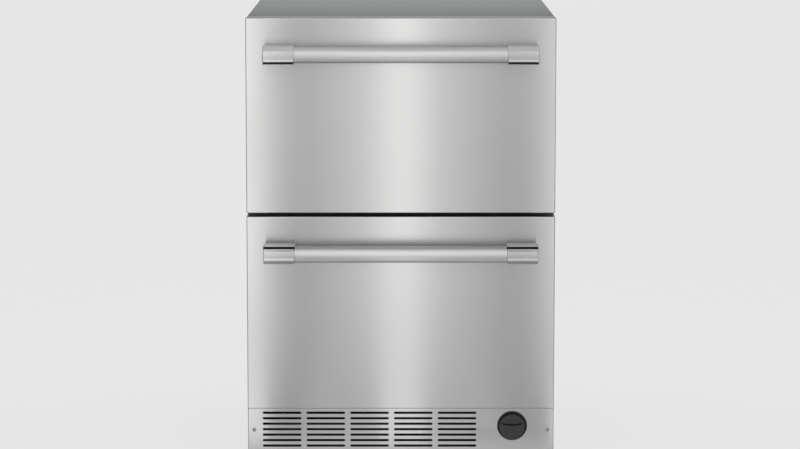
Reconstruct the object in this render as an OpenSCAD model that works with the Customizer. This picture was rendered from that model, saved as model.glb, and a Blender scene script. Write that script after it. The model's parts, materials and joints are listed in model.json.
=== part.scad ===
// Undercounter refrigerator with two full-width drawers, a stainless base grille and a
// quarter-turn water filter behind the round cap.
// Millimetres. +X is right seen from the front, +Y is the back, +Z is up.
// The origin is on the floor, under the middle of the box round the whole unit.

/* [Cabinet] */
// Width of the cabinet and of the drawer fronts
body_w = 606; // [590:1:640]
// Height from the floor to the top
body_h = 876; // [860:1:910]
// Depth of the cabinet behind the drawer fronts
body_d = 556; // [548:1:600]
// Thickness of the outer sheet steel
sheet_t = 1.2; // [0.8:0.1:1.6]
// Thickness of the foam in the walls
foam_t = 38; // [34:1:41]
// Thickness of the moulded liners
liner_t = 2; // [1.5:0.1:3]
// Corner radius of the liners
liner_r = 14; // [8:1:20]
// Thickness of the divider between the two compartments
divider_t = 40; // [36:1:44]
// Height of the pressed beads on the back panel
bead_h = 3; // [2:0.5:5]

/* [Base and machine bay] */
// Height of the lower edge of the grille above the floor
floor_gap = 16.5; // [16:0.5:22]
// Height of the base pan above the lower edge of the grille
pan_rise = 9.5; // [9:0.5:12]
// Height of the base grille
grille_h = 87; // [84:1:96]
// Height of the cabinet deck above the upper edge of the grille
deck_rise = 4.5; // [3:0.5:8]
// Depth of the machine bay at the back
bay_d = 215; // [212:1:225]
// Height of the machine bay above the base pan
bay_h = 187; // [184:1:194]
// How far the rear cover stands in from the back
cover_recess = 20; // [17:1:22]

/* [Drawer fronts] */
// Thickness of a drawer front
front_t = 47; // [42:1:54]
// Gap between the two fronts
front_gap = 7.5; // [5:0.5:8]
// Gap between the lower front and the grille
grille_gap = 0.8; // [0.6:0.1:3]
// How far the grille stands back from the faces of the fronts
grille_recess = 5; // [0:0.5:8]
// Gap between a front and the cabinet, closed by the gasket
seal_gap = 3; // [2.5:0.5:5]
// Thickness of the stainless skin
skin_t = 1; // [0.8:0.1:1.5]
// Bend radius at the edges of the skins and of the grille
bend_r = 1.5; // [1:0.5:4]
// Thickness of the inner liner of a front
plate_t = 5; // [4.5:0.5:7]
// How far the plug of the inner liner stands into the opening
plug_d = 12; // [8:1:16]
// Clearance of the plug in the opening
plug_gap = 6; // [5:1:10]
// Width of the gasket
gasket_w = 13; // [10:1:13]
// Distance of the gasket from the edge of the front
gasket_inset = 2; // [1:0.5:2.5]
// Depth of the gasket in its groove
gasket_seat = 3; // [2:0.5:3.5]

/* [Handles] */
// Diameter of the handle bar
bar_d = 32; // [28:1:32]
// Distance of the bar axis from the face of the front
bar_standoff = 48; // [46:1:52]
// Distance of the bar axis below the upper edge of the front
handle_drop = 68; // [50:1:100]
// Length over both brackets
handle_len = 535; // [460:1:560]
// Width of a bracket
bracket_w = 60.5; // [45:0.5:75]
// Metal in front of the bar in a bracket
bracket_wall = 2; // [2:0.5:4]
// Chamfer at the ends of a bracket
bracket_chamfer = 3; // [1:0.5:5]
// How far the bar goes into a bracket
bar_seat = 14; // [8:1:30]
// Diameter of the studs that hold a bracket
stud_d = 6; // [5:1:8]

/* [Slides] */
// Height of the fixed rail
rail_h = 45; // [40:1:50]
// Width of the fixed rail
rail_w = 13; // [13:0.5:16]
// Thickness of the slide steel
rail_t = 1.5; // [1.2:0.1:1.8]
// Depth of the lips that hold a member in
rail_lip = 4; // [3:0.5:5]
// Room between the back of the slides and the evaporator cover
rail_end_gap = 2; // [1:1:40]
// Running clearance between slide members
run_gap = 0.3; // [0.3:0.05:0.4]

/* [Bins] */
// Room above the upper bin
upper_room = 86; // [60:1:160]
// Room above the lower bin
lower_room = 125; // [120:1:134]
// Wall of the bins
bin_wall = 3; // [2:0.5:4]
// Corner radius of the bins
bin_r = 20; // [10:1:30]
// Height of a bin above the floor of its compartment
bin_lift = 8; // [5:1:12]
// Gap between the upper bin and the back wall
bin_back_gap = 70; // [60:1:120]
// Width of the ice tub
tub_w = 180; // [150:1:220]
// Height of the ice tub
tub_h = 140; // [100:1:150]

/* [Grille] */
// Number of slot columns
slot_cols = 5; // [3:1:5]
// Number of slot rows
slot_rows = 7; // [3:1:7]
// Height of a slot
slot_h = 4.7; // [3:0.1:6]
// Metal between two columns
slot_web = 10.1; // [6:0.1:16]
// Distance from one row to the next
slot_pitch_z = 11.04; // [9:0.01:11.5]
// Centre of the first row below the upper edge of the grille
slot_drop = 9.65; // [8:0.05:12]
// Distance of the first column from the left side
slot_side = 29.3; // [24:0.1:40]
// Distance of the last column from the cap
slot_cap_gap = 42.4; // [20:0.1:60]
// Distance of the grille screws from the sides
screw_side = 12.6; // [10:0.1:16]
// Height of the grille screws below the upper edge of the grille
screw_drop = 43.5; // [35:0.5:55]
// Diameter of the head of a grille screw
screw_head_d = 8; // [7:0.5:9]
// Diameter of the shank of a grille screw
screw_d = 4; // [3:0.5:5]

/* [Water filter] */
// Diameter of the cap
cap_d = 57; // [52:1:58]
// Distance of the centre of the cap from the right side
cap_side = 82.4; // [78:0.1:90]
// Centre of the cap below the upper edge of the grille
cap_drop = 35.5; // [35:0.5:38]
// How far the cap stands out of the grille
cap_proud = 6; // [4:1:10]
// Gap round the cap
cap_gap = 1; // [0.5:0.1:1.2]
// Wall of the filter housing
housing_wall = 2.5; // [2:0.5:2.5]
// Diameter of the cartridge
cartridge_d = 50; // [44:1:51]
// Length of the cartridge
cartridge_len = 220; // [180:1:240]
// Diameter of the spigot that the cap turns on
spigot_d = 12; // [8:1:16]
// Radial clearance of a shaft in its bore
shaft_gap = 0.05; // [0.03:0.01:0.08]

/* [Cooling] */
// Width of the condenser
condenser_w = 170; // [150:1:176]
// Height of the condenser
condenser_h = 164; // [150:1:168]
// Depth of the condenser
condenser_d = 48; // [40:1:50]
// Distance of the middle of the condenser and its fan from the left side
condenser_side = 133; // [128:1:138]
// Diameter of the condenser fan
fan_d = 144; // [120:1:146]
// Distance of the middle of the compressor from the right side
compressor_side = 195; // [191:1:203]
// Diameter of the compressor
compressor_d = 140; // [120:1:144]
// Height of the compressor
compressor_h = 152; // [130:1:156]
// Width of the evaporator
evaporator_w = 400; // [300:1:420]
// Depth of the evaporator
evaporator_d = 44; // [36:1:46]
// Room between the evaporator and the opening of its fan
coil_gap = 13.4; // [5:0.1:30]
// Depth of the evaporator cover
cover_d = 56; // [54:1:62]
// Diameter of the evaporator fan
cold_fan_d = 76; // [60:1:78]
// Distance of the axis of the evaporator fan below the ceiling
cold_fan_drop = 51.4; // [48:0.1:60]
// Radius of the copper lines
line_r = 3.5; // [3:0.5:4]

/* [Ice maker] */
// Number of ice cavities
ice_cells = 7; // [5:1:7]
// Distance from one cavity to the next
ice_pitch = 23; // [21:1:24]
// Radius of the cavities
ice_r = 28; // [24:1:30]
// Distance of the ejector axis from the left wall
ice_wall_gap = 58; // [52:1:70]
// Distance of the ejector axis below the ceiling
ice_drop = 60; // [58:1:64]
// Radius of the shut-off arm's wire
arm_wire_r = 1.6; // [1.2:0.1:2]

/* [Legs] */
// Distance of the legs from the sides
leg_side = 32; // [28:1:36]
// Distance of the legs from the front and back of the cabinet
leg_end = 32; // [30:1:40]
// Diameter of a foot
foot_d = 38; // [30:1:44]
// Diameter of a leg's stem
stem_d = 10; // [8:1:12]
// How far a leg screws out
leg_travel = 25; // [15:1:28]

/* [Hidden] */
$fn = 64;

eps = 0.01;
stainless = [0.74, 0.74, 0.73];
dark_paint = [0.12, 0.12, 0.13];
grey_paint = [0.52, 0.54, 0.54];
liner_white = [0.9, 0.91, 0.92];
zinc = [0.7, 0.72, 0.74];

// Depths, from the front to the back
handle_reach = bar_standoff + bar_d / 2 + bracket_wall;
y_back = (handle_reach + front_t + seal_gap + body_d) / 2;
y_cab = y_back - body_d;
y_door = y_cab - seal_gap;
y_front = y_door - front_t;
y_grille = y_front + grille_recess;
y_panel = y_back - bead_h - sheet_t;
y_rear = y_panel - foam_t - liner_t;
y_bay = y_back - bay_d;
y_bay_liner = y_bay - foam_t - liner_t;
y_cover = y_back - cover_recess;
y_air = y_rear - cover_d;

// Heights, from the floor up
z_pan = floor_gap + pan_rise;
z_grille = floor_gap + grille_h;
z_deck = z_grille + deck_rise;
z_step = z_pan + bay_h;
z_lower = z_grille + grille_gap;
front_h = (body_h - z_lower - front_gap) / 2;
z_upper = z_lower + front_h + front_gap;
z_mid = z_upper - front_gap / 2;
z_floor1 = z_deck + foam_t + liner_t;
z_ceil1 = z_mid - divider_t / 2;
z_floor2 = z_mid + divider_t / 2;
z_ceil2 = body_h - sheet_t - foam_t - liner_t;
z_bay_liner = z_step + foam_t + liner_t;

// Half widths
x_side = body_w / 2;
x_foam = x_side - sheet_t;
x_open = x_foam - foam_t - liner_t;

// Handles: the height of the bar above the bottom of a front, and the ends of the right bracket
handle_z = front_h - handle_drop;
bracket_x0 = handle_len / 2 - bracket_w;
bracket_x1 = handle_len / 2;

// Slides and bins
member_h = rail_h - 2 * rail_t - 2 * run_gap;
runner_h = member_h - 2 * rail_t - 2 * run_gap;
pad_h = rail_h - 2 * rail_t - 2 * rail_lip - 4;
x_rail = x_open - rail_w;
x_arm = x_rail - rail_t;
arm_t = 2;
arm_h = rail_h - 5;
rim_t = 3;
bin_gap = 1;
bin_x = x_arm - arm_t - bin_gap;
y_rail = y_cab + plug_d + 4;
rail_len = y_air - rail_end_gap - y_rail;
y_bin = y_cab + plug_d + arm_t + 2;
y_upper_bin_end = y_rear - bin_back_gap;
y_lower_bin_end = y_bay_liner - 5;
z_bin1 = z_floor1 + bin_lift;
z_bin2 = z_floor2 + bin_lift;
lower_bin_h = z_ceil1 - lower_room - z_bin1;
upper_bin_h = z_ceil2 - upper_room - z_bin2;
z_slide1 = z_bin1 + lower_bin_h - rim_t - arm_h / 2;
z_slide2 = z_bin2 + upper_bin_h - rim_t - arm_h / 2;

// Filter
cap_r = cap_d / 2;
cap_x = x_side - cap_side;
cap_z = z_grille - cap_drop;
cap_back = 10;
housing_r = cap_r + cap_gap;
housing_out = housing_r + housing_wall;
y_cap = y_grille - cap_proud;
y_cartridge = y_grille + cap_back + shaft_gap;
cartridge_neck = 14;
spigot_len = 7;

// Grille: the columns share the width between the left margin and the cap
screw_x = x_side - screw_side;
slot_x0 = slot_side - x_side;
slot_len = (cap_x - cap_r - slot_cap_gap - slot_x0 - (slot_cols - 1) * slot_web) / slot_cols;

// Electrical box, between the drain pan and the filter housing
box_w = 124;
box_d = 140;
box_gap = 28;
box_x1 = cap_x - housing_out - box_gap;
box_x0 = box_x1 - box_w;
drain_gap = 30;

// Cooling
condenser_left = x_side - condenser_side;
compressor_right = x_side - compressor_side;
z_base = z_pan + sheet_t;
y_condenser = y_bay + sheet_t + 6;
y_fan = y_condenser + condenser_d + 8;
fan_z = z_base + condenser_h / 2 + 4;
fan_ring_gap = 3;
blade_d = 18;
grommet_h = 12;
foot_t = 3;
shell_r = 0.45 * compressor_d;
shell_low = 0.38 * compressor_h;
compressor_y = (y_bay + y_cover) / 2 + 15;
z_evaporator = z_bay_liner + 5;
cold_fan_y = y_air + liner_t + 14;
cold_fan_z = z_ceil1 - cold_fan_drop;
cold_ring_r = cold_fan_d / 2 + 4;
evaporator_h = cold_fan_z - cold_ring_r - coil_gap - z_evaporator;
evaporator_gap = 4;
header_h = 3;
line_x = [-32, -6];
line_y = y_rear - evaporator_gap - evaporator_d / 2;

// Connections at the back
valve_r = 13.2;
valve_x = x_side - 66;
valve_z = z_base + 44;
valve_end = cover_recess - sheet_t - 2;
gland_x = -62;
gland_z = z_base + 34;
gland_r = 9;

// Ice maker
ice_x = -(x_open - ice_wall_gap);
ice_z = z_ceil1 - ice_drop;
ice_len = ice_cells * ice_pitch;
y_mould = y_lower_bin_end - 8 - ice_len;
y_ice_drive = y_mould - 42;
ejector_r = 4;
arm_pivot_x = ice_x + ice_r + 14;
arm_pivot_z = ice_z - 8;
arm_drop = arm_pivot_z - (z_bin1 + lower_bin_h) - 8;
arm_span = 110;
arm_seat = 8;
comb_w = ice_pitch - 9;

// Legs
leg_x = x_side - leg_side;
leg_y = [y_cab + leg_end, y_back - leg_end - cover_recess];
nut_h = 12;
nut_r = stem_d / 2 + 4;

// ---------- shared shapes ----------

// A box given by its low and its high corner
module block(lo, hi) {
    translate(lo) cube(hi - lo);
}

// Carries a sketch drawn in X and Z along Y, from y0 to y1
module along_y(y0, y1) {
    translate([0, y1, 0]) rotate([90, 0, 0]) linear_extrude(y1 - y0) children();
}

// Carries a sketch drawn in Y and Z along X, from x0 to x1
module along_x(x0, x1) {
    translate([x0, 0, 0]) rotate([90, 0, 90]) linear_extrude(x1 - x0) children();
}

// A rectangle from lo to hi with true round corners
module rounded(lo, hi, r) {
    size = hi - lo;
    translate([lo[0] + r, lo[1]]) square([size[0] - 2 * r, size[1]]);
    translate([lo[0], lo[1] + r]) square([size[0], size[1] - 2 * r]);
    for (x = [lo[0] + r, hi[0] - r], y = [lo[1] + r, hi[1] - r])
        translate([x, y]) circle(r = r);
}

// Two copies, the second mirrored to the other side
module both_sides() {
    children();
    mirror([1, 0, 0]) children();
}

// A round rod from one point to another, axis-parallel or sloping
module rod(a, b, r) {
    d = b - a;
    len = norm(d);
    translate(a)
        rotate([0, acos(d[2] / len), atan2(d[1], d[0])])
            cylinder(r = r, h = len);
}

// A bent tube through the points, with ball-shaped elbows
module bent_tube(points, r) {
    for (i = [0 : len(points) - 2]) rod(points[i], points[i + 1], r);
    for (i = [1 : len(points) - 2]) translate(points[i]) sphere(r = r, $fn = 32);
}

// A closed block with bent front edges: its front is at y0 and its back at y1
module pan_block(x, z0, z1, y0, y1, r) {
    intersection() {
        translate([0, 0, z0]) linear_extrude(z1 - z0) {
            translate([-x, y0 + r]) square([2 * x, y1 - y0 - r]);
            translate([r - x, y0]) square([2 * (x - r), y1 - y0]);
            for (s = [-1, 1]) translate([s * (x - r), y0 + r]) circle(r = r);
        }
        along_x(-x, x) {
            translate([y0 + r, z0]) square([y1 - y0 - r, z1 - z0]);
            translate([y0, z0 + r]) square([y1 - y0, z1 - z0 - 2 * r]);
            for (z = [z0 + r, z1 - r]) translate([y0 + r, z]) circle(r = r);
        }
    }
}

// A folded sheet pan, open at the back
module sheet_pan(x, z0, z1, y0, y1, t, r) {
    difference() {
        pan_block(x, z0, z1, y0, y1, r);
        pan_block(x - t, z0 + t, z1 - t, y0 + t, y1 + 1, max(r - t, 0.3));
    }
}

// A rectangular ring between y0 and y1
module flat_ring(x, z0, z1, w, y0, y1) {
    along_y(y0, y1) difference() {
        translate([-x, z0]) square([2 * x, z1 - z0]);
        translate([w - x, z0 + w]) square([2 * (x - w), z1 - z0 - 2 * w]);
    }
}

// A finned coil: tubes along X through upright fins
module fin_coil(lo, hi, fins, rows, layers, r) {
    size = hi - lo;
    fin_t = 0.8;
    for (i = [0 : fins - 1])
        translate([lo[0] + i * (size[0] - fin_t) / (fins - 1), lo[1], lo[2]])
            cube([fin_t, size[1], size[2]]);
    for (i = [0 : rows - 1], j = [0 : layers - 1])
        translate([lo[0], lo[1] + (j + 0.5) * size[1] / layers, lo[2] + (i + 0.5) * size[2] / rows])
            rotate([0, 90, 0]) cylinder(r = r, h = size[0], $fn = 24);
}

// Fan blades round the Y axis: each is cut from a thin cylinder shell, pitched and cambered
module fan_blades(tip_r, hub_r, count, depth) {
    camber_r = depth * 2.2;
    blade_t = 1.6;
    pitch = 32;
    intersection() {
        for (i = [0 : count - 1])
            rotate([0, i * 360 / count, 0])
                rotate([0, 0, pitch])
                    translate([0, -camber_r, 0])
                        difference() {
                            cylinder(r = camber_r + blade_t / 2, h = tip_r + 1);
                            translate([0, 0, -1]) cylinder(r = camber_r - blade_t / 2, h = tip_r + 3);
                        }
        along_y(-depth / 2, depth / 2) difference() {
            circle(r = tip_r);
            circle(r = hub_r - 1);
        }
        for (i = [0 : count - 1])
            rotate([0, i * 360 / count, 0])
                translate([-depth, -depth, 0]) cube([2 * depth, 2 * depth, tip_r]);
    }
    along_y(-depth / 2, depth / 2) circle(r = hub_r);
}

// ---------- cabinet ----------

module cabinet_shell() {
    color(grey_paint) {
        along_y(y_cab, y_back) difference() {
            translate([-x_side, z_pan]) square([body_w, body_h - z_pan]);
            translate([-x_foam, z_pan - 1]) square([2 * x_foam, body_h - sheet_t - z_pan + 1]);
        }
        along_y(y_cab, y_cab + sheet_t) difference() {
            translate([-x_foam - eps, z_deck]) square([2 * x_foam + 2 * eps, body_h - sheet_t + eps - z_deck]);
            rounded([-x_open, z_floor1], [x_open, z_ceil2], liner_r);
        }
    }
}

module back_panel() {
    bead_r = 9;
    color(zinc) difference() {
        union() {
            block([-x_foam, y_panel, z_step], [x_foam, y_panel + sheet_t, body_h - sheet_t]);
            for (x = [-0.7, -0.35, 0, 0.35, 0.7])
                translate([x * x_foam, y_back - bead_r, z_step + 60])
                    cylinder(r = bead_r, h = body_h - z_step - 120);
        }
        block([-x_side, y_panel - 2 * bead_r, z_pan], [x_side, y_panel, body_h]);
    }
}

module rear_cover() {
    vent_h = 5;
    vent_w = 46;
    color(zinc) difference() {
        union() {
            block([-x_foam, y_cover, z_base], [x_foam, y_cover + sheet_t, z_step - sheet_t]);
            for (z = [z_base, z_step - 2 * sheet_t])
                block([-x_foam, y_cover, z], [x_foam, y_cover + cover_recess / 2, z + sheet_t]);
        }
        for (i = [-4 : 3], j = [0 : 8])
            translate([i * 58 + 4, 0, z_base + 30 + j * 16])
                if (!(i == 3 || (i == -1 && j < 4)))
                    along_y(y_cover - 1, y_cover + 2 * sheet_t)
                        rounded([0, 0], [vent_w, vent_h], vent_h / 2 - eps);
        translate([valve_x, y_cover - 1, valve_z]) rotate([-90, 0, 0]) cylinder(r = valve_r + 4, h = 10);
        translate([gland_x, y_cover - 1, gland_z]) rotate([-90, 0, 0]) cylinder(r = gland_r, h = 10);
    }
}

module base_pan() {
    bracket_w = 18;
    bracket_h = 50;
    bracket_t = 1.5;
    tab_y = y_grille + skin_t;
    screw_z = z_grille - screw_drop;
    color(dark_paint) {
        difference() {
            union() {
                block([-x_foam, y_cab, z_pan], [x_foam, y_back, z_base]);
                for (x = [-leg_x, leg_x], y = leg_y)
                    translate([x, y, z_base - eps]) cylinder(r = nut_r, h = nut_h, $fn = 6);
            }
            for (x = [-leg_x, leg_x], y = leg_y)
                translate([x, y, z_pan - 1]) cylinder(r = stem_d / 2 + shaft_gap, h = nut_h + sheet_t + 2);
        }
        both_sides() {
            block([-x_foam, y_cab, z_base - eps], [sheet_t - x_foam, y_cover, z_base + 20]);
            difference() {
                union() {
                    block([screw_x - bracket_w / 2, tab_y, z_pan],
                          [screw_x + bracket_w / 2, tab_y + bracket_t, z_pan + bracket_h]);
                    block([screw_x - bracket_w / 2, tab_y, z_pan],
                          [screw_x - bracket_w / 2 + bracket_t, y_cab + 12, z_pan + bracket_h / 2]);
                }
                translate([screw_x, tab_y - 1, screw_z]) rotate([-90, 0, 0]) cylinder(r = screw_d / 2, h = 5);
            }
        }
    }
}

module deck_panel() {
    color(zinc) difference() {
        along_x(-x_foam, x_foam) polygon([
            [y_cab, z_deck - sheet_t], [y_bay + sheet_t, z_deck - sheet_t],
            [y_bay + sheet_t, z_step - sheet_t], [y_panel + sheet_t, z_step - sheet_t],
            [y_panel + sheet_t, z_step], [y_bay, z_step], [y_bay, z_deck], [y_cab, z_deck]
        ]);
        line_bores();
    }
}

// The outer form of each liner, which the foam is moulded round
module upper_hollow(grow) {
    along_y(y_cab + sheet_t - 1 + min(grow, 1), y_rear + grow)
        rounded([-x_open - grow, z_floor2 - grow], [x_open + grow, z_ceil2 + grow], liner_r + grow);
}

module lower_hollow(grow) {
    intersection() {
        along_y(y_cab + sheet_t - 1 + min(grow, 1), y_rear + grow)
            rounded([-x_open - grow, z_floor1 - grow], [x_open + grow, z_ceil1 + grow], liner_r + grow);
        along_x(-x_side, x_side) polygon([
            [y_cab, z_deck], [y_bay_liner + grow, z_deck], [y_bay_liner + grow, z_bay_liner - grow],
            [y_back, z_bay_liner - grow], [y_back, z_mid], [y_cab, z_mid]
        ]);
    }
}

// Holes for the two copper lines through the bottom of the lower compartment
module line_bores() {
    for (x = line_x)
        translate([x, line_y, z_step - 10]) cylinder(r = line_r + 0.2, h = foam_t + 20);
}

module insulation_foam() {
    color([0.93, 0.87, 0.62]) difference() {
        along_x(-x_foam, x_foam) polygon([
            [y_cab + sheet_t, z_deck], [y_bay, z_deck], [y_bay, z_step],
            [y_panel, z_step], [y_panel, body_h - sheet_t], [y_cab + sheet_t, body_h - sheet_t]
        ]);
        upper_hollow(liner_t);
        lower_hollow(liner_t);
        mullion_channel();
        line_bores();
    }
}

module upper_liner() {
    color(liner_white) difference() {
        upper_hollow(liner_t);
        upper_hollow(0);
    }
}

module lower_liner() {
    color(liner_white) difference() {
        lower_hollow(liner_t);
        lower_hollow(0);
        line_bores();
    }
}

module mullion_channel() {
    half = divider_t / 2 - liner_t;
    back = y_cab + 24;
    along_x(-x_open, x_open) difference() {
        translate([y_cab + sheet_t, z_mid - half]) square([back - y_cab - sheet_t, 2 * half]);
        translate([y_cab, z_mid - half + sheet_t]) square([back - y_cab + 1, 2 * (half - sheet_t)]);
    }
}

module mullion() {
    color(dark_paint) {
        along_y(y_cab, y_cab + sheet_t)
            translate([-x_open, z_ceil1]) square([2 * x_open, divider_t]);
        mullion_channel();
    }
}

module control_panel() {
    depth = 40;
    height = 16;
    width = 230;
    button_r = 7;
    button_pitch = 38;
    y0 = y_cab + plug_d + 10;
    color(dark_paint) difference() {
        along_x(-width / 2, width / 2) polygon([
            [y0, z_ceil2], [y0, z_ceil2 - 4], [y0 + 10, z_ceil2 - height],
            [y0 + depth, z_ceil2 - height], [y0 + depth, z_ceil2]
        ]);
        for (i = [-2 : 2])
            translate([i * button_pitch, y0 + depth / 2 + 5, z_ceil2 - height - 1])
                cylinder(r = button_r, h = 1.5);
    }
}

module light_lenses() {
    lens_w = 120;
    lens_h = 6;
    lens_d = 24;
    lens_back = 70;
    lower_x = 30;
    y0 = y_cab + plug_d + lens_back;
    color([0.95, 0.96, 0.98])
        for (place = [[-lens_w / 2, z_ceil2], [lower_x, z_ceil1]])
            translate([place[0], 0, place[1]])
                intersection() {
                    along_x(0, lens_w) {
                        translate([y0, -lens_h / 2]) square([lens_d, lens_h / 2]);
                        translate([y0 + lens_d / 2, lens_h * 1.4]) circle(r = lens_h * 2.4);
                    }
                    block([0, y0, -lens_h], [lens_w, y0 + lens_d, 0]);
                }
}

// ---------- slides ----------

// Section of a channel that opens towards the middle of the unit; it is drawn for the right side
module channel_section(x0, x1, h, lip) {
    difference() {
        translate([x0, -h / 2]) square([x1 - x0, h]);
        translate([x0 + rail_t, rail_t - h / 2]) square([x1 - x0 - 2 * rail_t, h - 2 * rail_t]);
        translate([x0 - 1, rail_t + lip - h / 2]) square([rail_t + 2, h - 2 * rail_t - 2 * lip]);
    }
}

module fixed_rail(z) {
    both_sides() translate([0, 0, z]) along_y(y_rail, y_rail + rail_len)
        channel_section(x_rail, x_open, rail_h, rail_lip);
}

module middle_member(z) {
    both_sides() translate([0, 0, z]) along_y(y_rail, y_rail + rail_len - 10)
        channel_section(x_rail + rail_t + run_gap, x_open - rail_t - run_gap, member_h, rail_lip);
}

// The runner slides in the middle member, and its pad comes out between the lips to the frame arm
module runner(z) {
    x0 = x_rail + 2 * rail_t + 2 * run_gap;
    x1 = x_open - 2 * rail_t - 2 * run_gap;
    both_sides() translate([0, 0, z]) along_y(y_rail, y_rail + rail_len - 14) {
        difference() {
            translate([x0, -runner_h / 2]) square([x1 - x0, runner_h]);
            translate([x0 + rail_t, rail_t - runner_h / 2]) square([x1 - x0, runner_h - 2 * rail_t]);
        }
        translate([x_arm, -pad_h / 2]) square([x0 + rail_t - x_arm, pad_h]);
    }
}

module slide_rails() {
    color(zinc) {
        fixed_rail(z_slide1);
        fixed_rail(z_slide2);
    }
}

module upper_slide_members() { color(zinc) middle_member(z_slide2); }
module lower_slide_members() { color(zinc) middle_member(z_slide1); }
module upper_runners() { color(zinc) runner(z_slide2); }
module lower_runners() { color(zinc) runner(z_slide1); }

// ---------- drawer fronts ----------

module front_skin(z0) {
    color(stainless) difference() {
        sheet_pan(x_side, z0, z0 + front_h, y_front, y_door - plate_t, skin_t, bend_r);
        handle_studs(z0, 0.2);
    }
}

module front_core(z0) {
    color([0.93, 0.87, 0.62]) difference() {
        pan_block(x_side - skin_t, z0 + skin_t, z0 + front_h - skin_t,
                  y_front + skin_t, y_door - plate_t, max(bend_r - skin_t, 0.3));
        handle_studs(z0, 0.2);
    }
}

module inner_liner(z0, z_low, z_high) {
    groove_gap = 0.2;
    inset = gasket_inset - groove_gap;
    color(liner_white) difference() {
        union() {
            block([-x_side, y_door - plate_t, z0], [x_side, y_door, z0 + front_h]);
            along_y(y_door - eps, y_cab + plug_d)
                rounded([plug_gap - x_open, z_low + plug_gap], [x_open - plug_gap, z_high - plug_gap], liner_r);
        }
        flat_ring(x_side - inset, z0 + inset, z0 + front_h - inset, gasket_w + 2 * groove_gap,
                  y_door - gasket_seat, y_door + 1);
    }
}

// The magnetic gasket: a root in the groove of the front and a softer bellows that meets the cabinet
module gasket(z0) {
    root_gap = 2;
    x = x_side - gasket_inset;
    color([0.35, 0.36, 0.37]) {
        flat_ring(x, z0 + gasket_inset, z0 + front_h - gasket_inset, gasket_w,
                  y_door - gasket_seat, y_door + eps);
        flat_ring(x - root_gap, z0 + gasket_inset + root_gap, z0 + front_h - gasket_inset - root_gap,
                  gasket_w - 2 * root_gap, y_door, y_cab - run_gap);
    }
}

module upper_skin() { front_skin(z_upper); }
module lower_skin() { front_skin(z_lower); }
module upper_core() { front_core(z_upper); }
module lower_core() { front_core(z_lower); }
module upper_inner_liner() { inner_liner(z_upper, z_floor2, z_ceil2); }
module lower_inner_liner() { inner_liner(z_lower, z_floor1, z_ceil1); }
module upper_gasket() { gasket(z_upper); }
module lower_gasket() { gasket(z_lower); }

// ---------- handles ----------

module handle_bar(z0) {
    half = bracket_x0 + bar_seat;
    color(stainless)
        translate([-half, y_front - bar_standoff, z0 + handle_z])
            rotate([0, 90, 0]) cylinder(r = bar_d / 2, h = 2 * half);
}

// Side view of a bracket, with how far it stands out along X and the height over the bar axis along Y.
// The foot stands on the front; the head holds the bar and has a bevelled top, a slightly crowned
// face, a lip and a groove.
module bracket_section() {
    r = bar_d / 2;
    out = handle_reach;
    back = bar_standoff - r - 6;
    crown_r = 40;
    face = r / 2;
    polygon([
        [0, 0.75 * r], [back - 4, 0.75 * r], [back, r + 1.5], [out - 14, r + 1.5],
        [out - 4, face + 3], [out - 1, face], [out - 1, -face],
        [out - 2.5, -face - 4], [out - 6, -face - 4], [out - 6, -face - 8],
        [out - 5, -face - 8], [out - 5, -r - 3], [back, -r - 3],
        [back - 4, -0.75 * r], [0, -0.75 * r]
    ]);
    intersection() {
        translate([out - crown_r, 0]) circle(r = crown_r);
        translate([out - 8, -face]) square([10, 2 * face]);
    }
}

// Both brackets of a front; turn = 1 has the groove below, turn = -1 has it above
module handle_brackets(z0, turn) {
    c = bracket_chamfer;
    color(zinc) both_sides()
        difference() {
            intersection() {
                translate([0, y_front, z0 + handle_z])
                    along_x(bracket_x0, bracket_x1) scale_turn(turn) bracket_section();
                translate([0, 0, z0]) linear_extrude(front_h) polygon([
                    [bracket_x0, y_front], [bracket_x1 - 2, y_front],
                    [bracket_x1, y_front - handle_reach / 2], [bracket_x1, y_front - handle_reach + c],
                    [bracket_x1 - c, y_front - handle_reach], [bracket_x0 + c / 2, y_front - handle_reach],
                    [bracket_x0, y_front - handle_reach + c / 2]
                ]);
            }
            translate([bracket_x0 - 1, y_front - bar_standoff, z0 + handle_z])
                rotate([0, 90, 0]) cylinder(r = bar_d / 2, h = bar_seat + 1);
        }
    color(zinc) handle_studs(z0, 0);
}

// Mirrors the side view so that it stands out to the front, and turns it over where asked
module scale_turn(turn) {
    mirror([1, 0]) mirror([0, turn < 0 ? 1 : 0]) children();
}

// The studs that hold the brackets, through the skin into the core
module handle_studs(z0, gap) {
    stud_len = 14;
    both_sides()
        for (x = [bracket_x0 + bracket_w * 0.25, bracket_x0 + bracket_w * 0.75])
            translate([x, y_front - gap - eps, z0 + handle_z])
                rotate([-90, 0, 0]) cylinder(r = stud_d / 2 + gap, h = stud_len + 3 * gap);
}

module upper_handle_bar() { handle_bar(z_upper); }
module lower_handle_bar() { handle_bar(z_lower); }
module upper_handle_brackets() { handle_brackets(z_upper, 1); }
module lower_handle_brackets() { handle_brackets(z_lower, -1); }

// ---------- bins ----------

// The frame: arms on the runners, feet on the plug of the front and a bar behind the bin
module drawer_frame(z_slide, y_end) {
    foot = 28;
    y0 = y_cab + plug_d;
    z0 = z_slide - arm_h / 2;
    z1 = z_slide + arm_h / 2;
    color(zinc) {
        both_sides() {
            block([x_arm - arm_t, y0, z0], [x_arm, max(y_rail + rail_len - 14, y_end + 1 + arm_t), z1]);
            block([x_arm - foot, y0, z0], [x_arm - eps, y0 + arm_t, z1]);
        }
        block([-x_arm + eps, y_end + 1, z0], [x_arm - eps, y_end + 1 + arm_t, z1]);
    }
}

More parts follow.
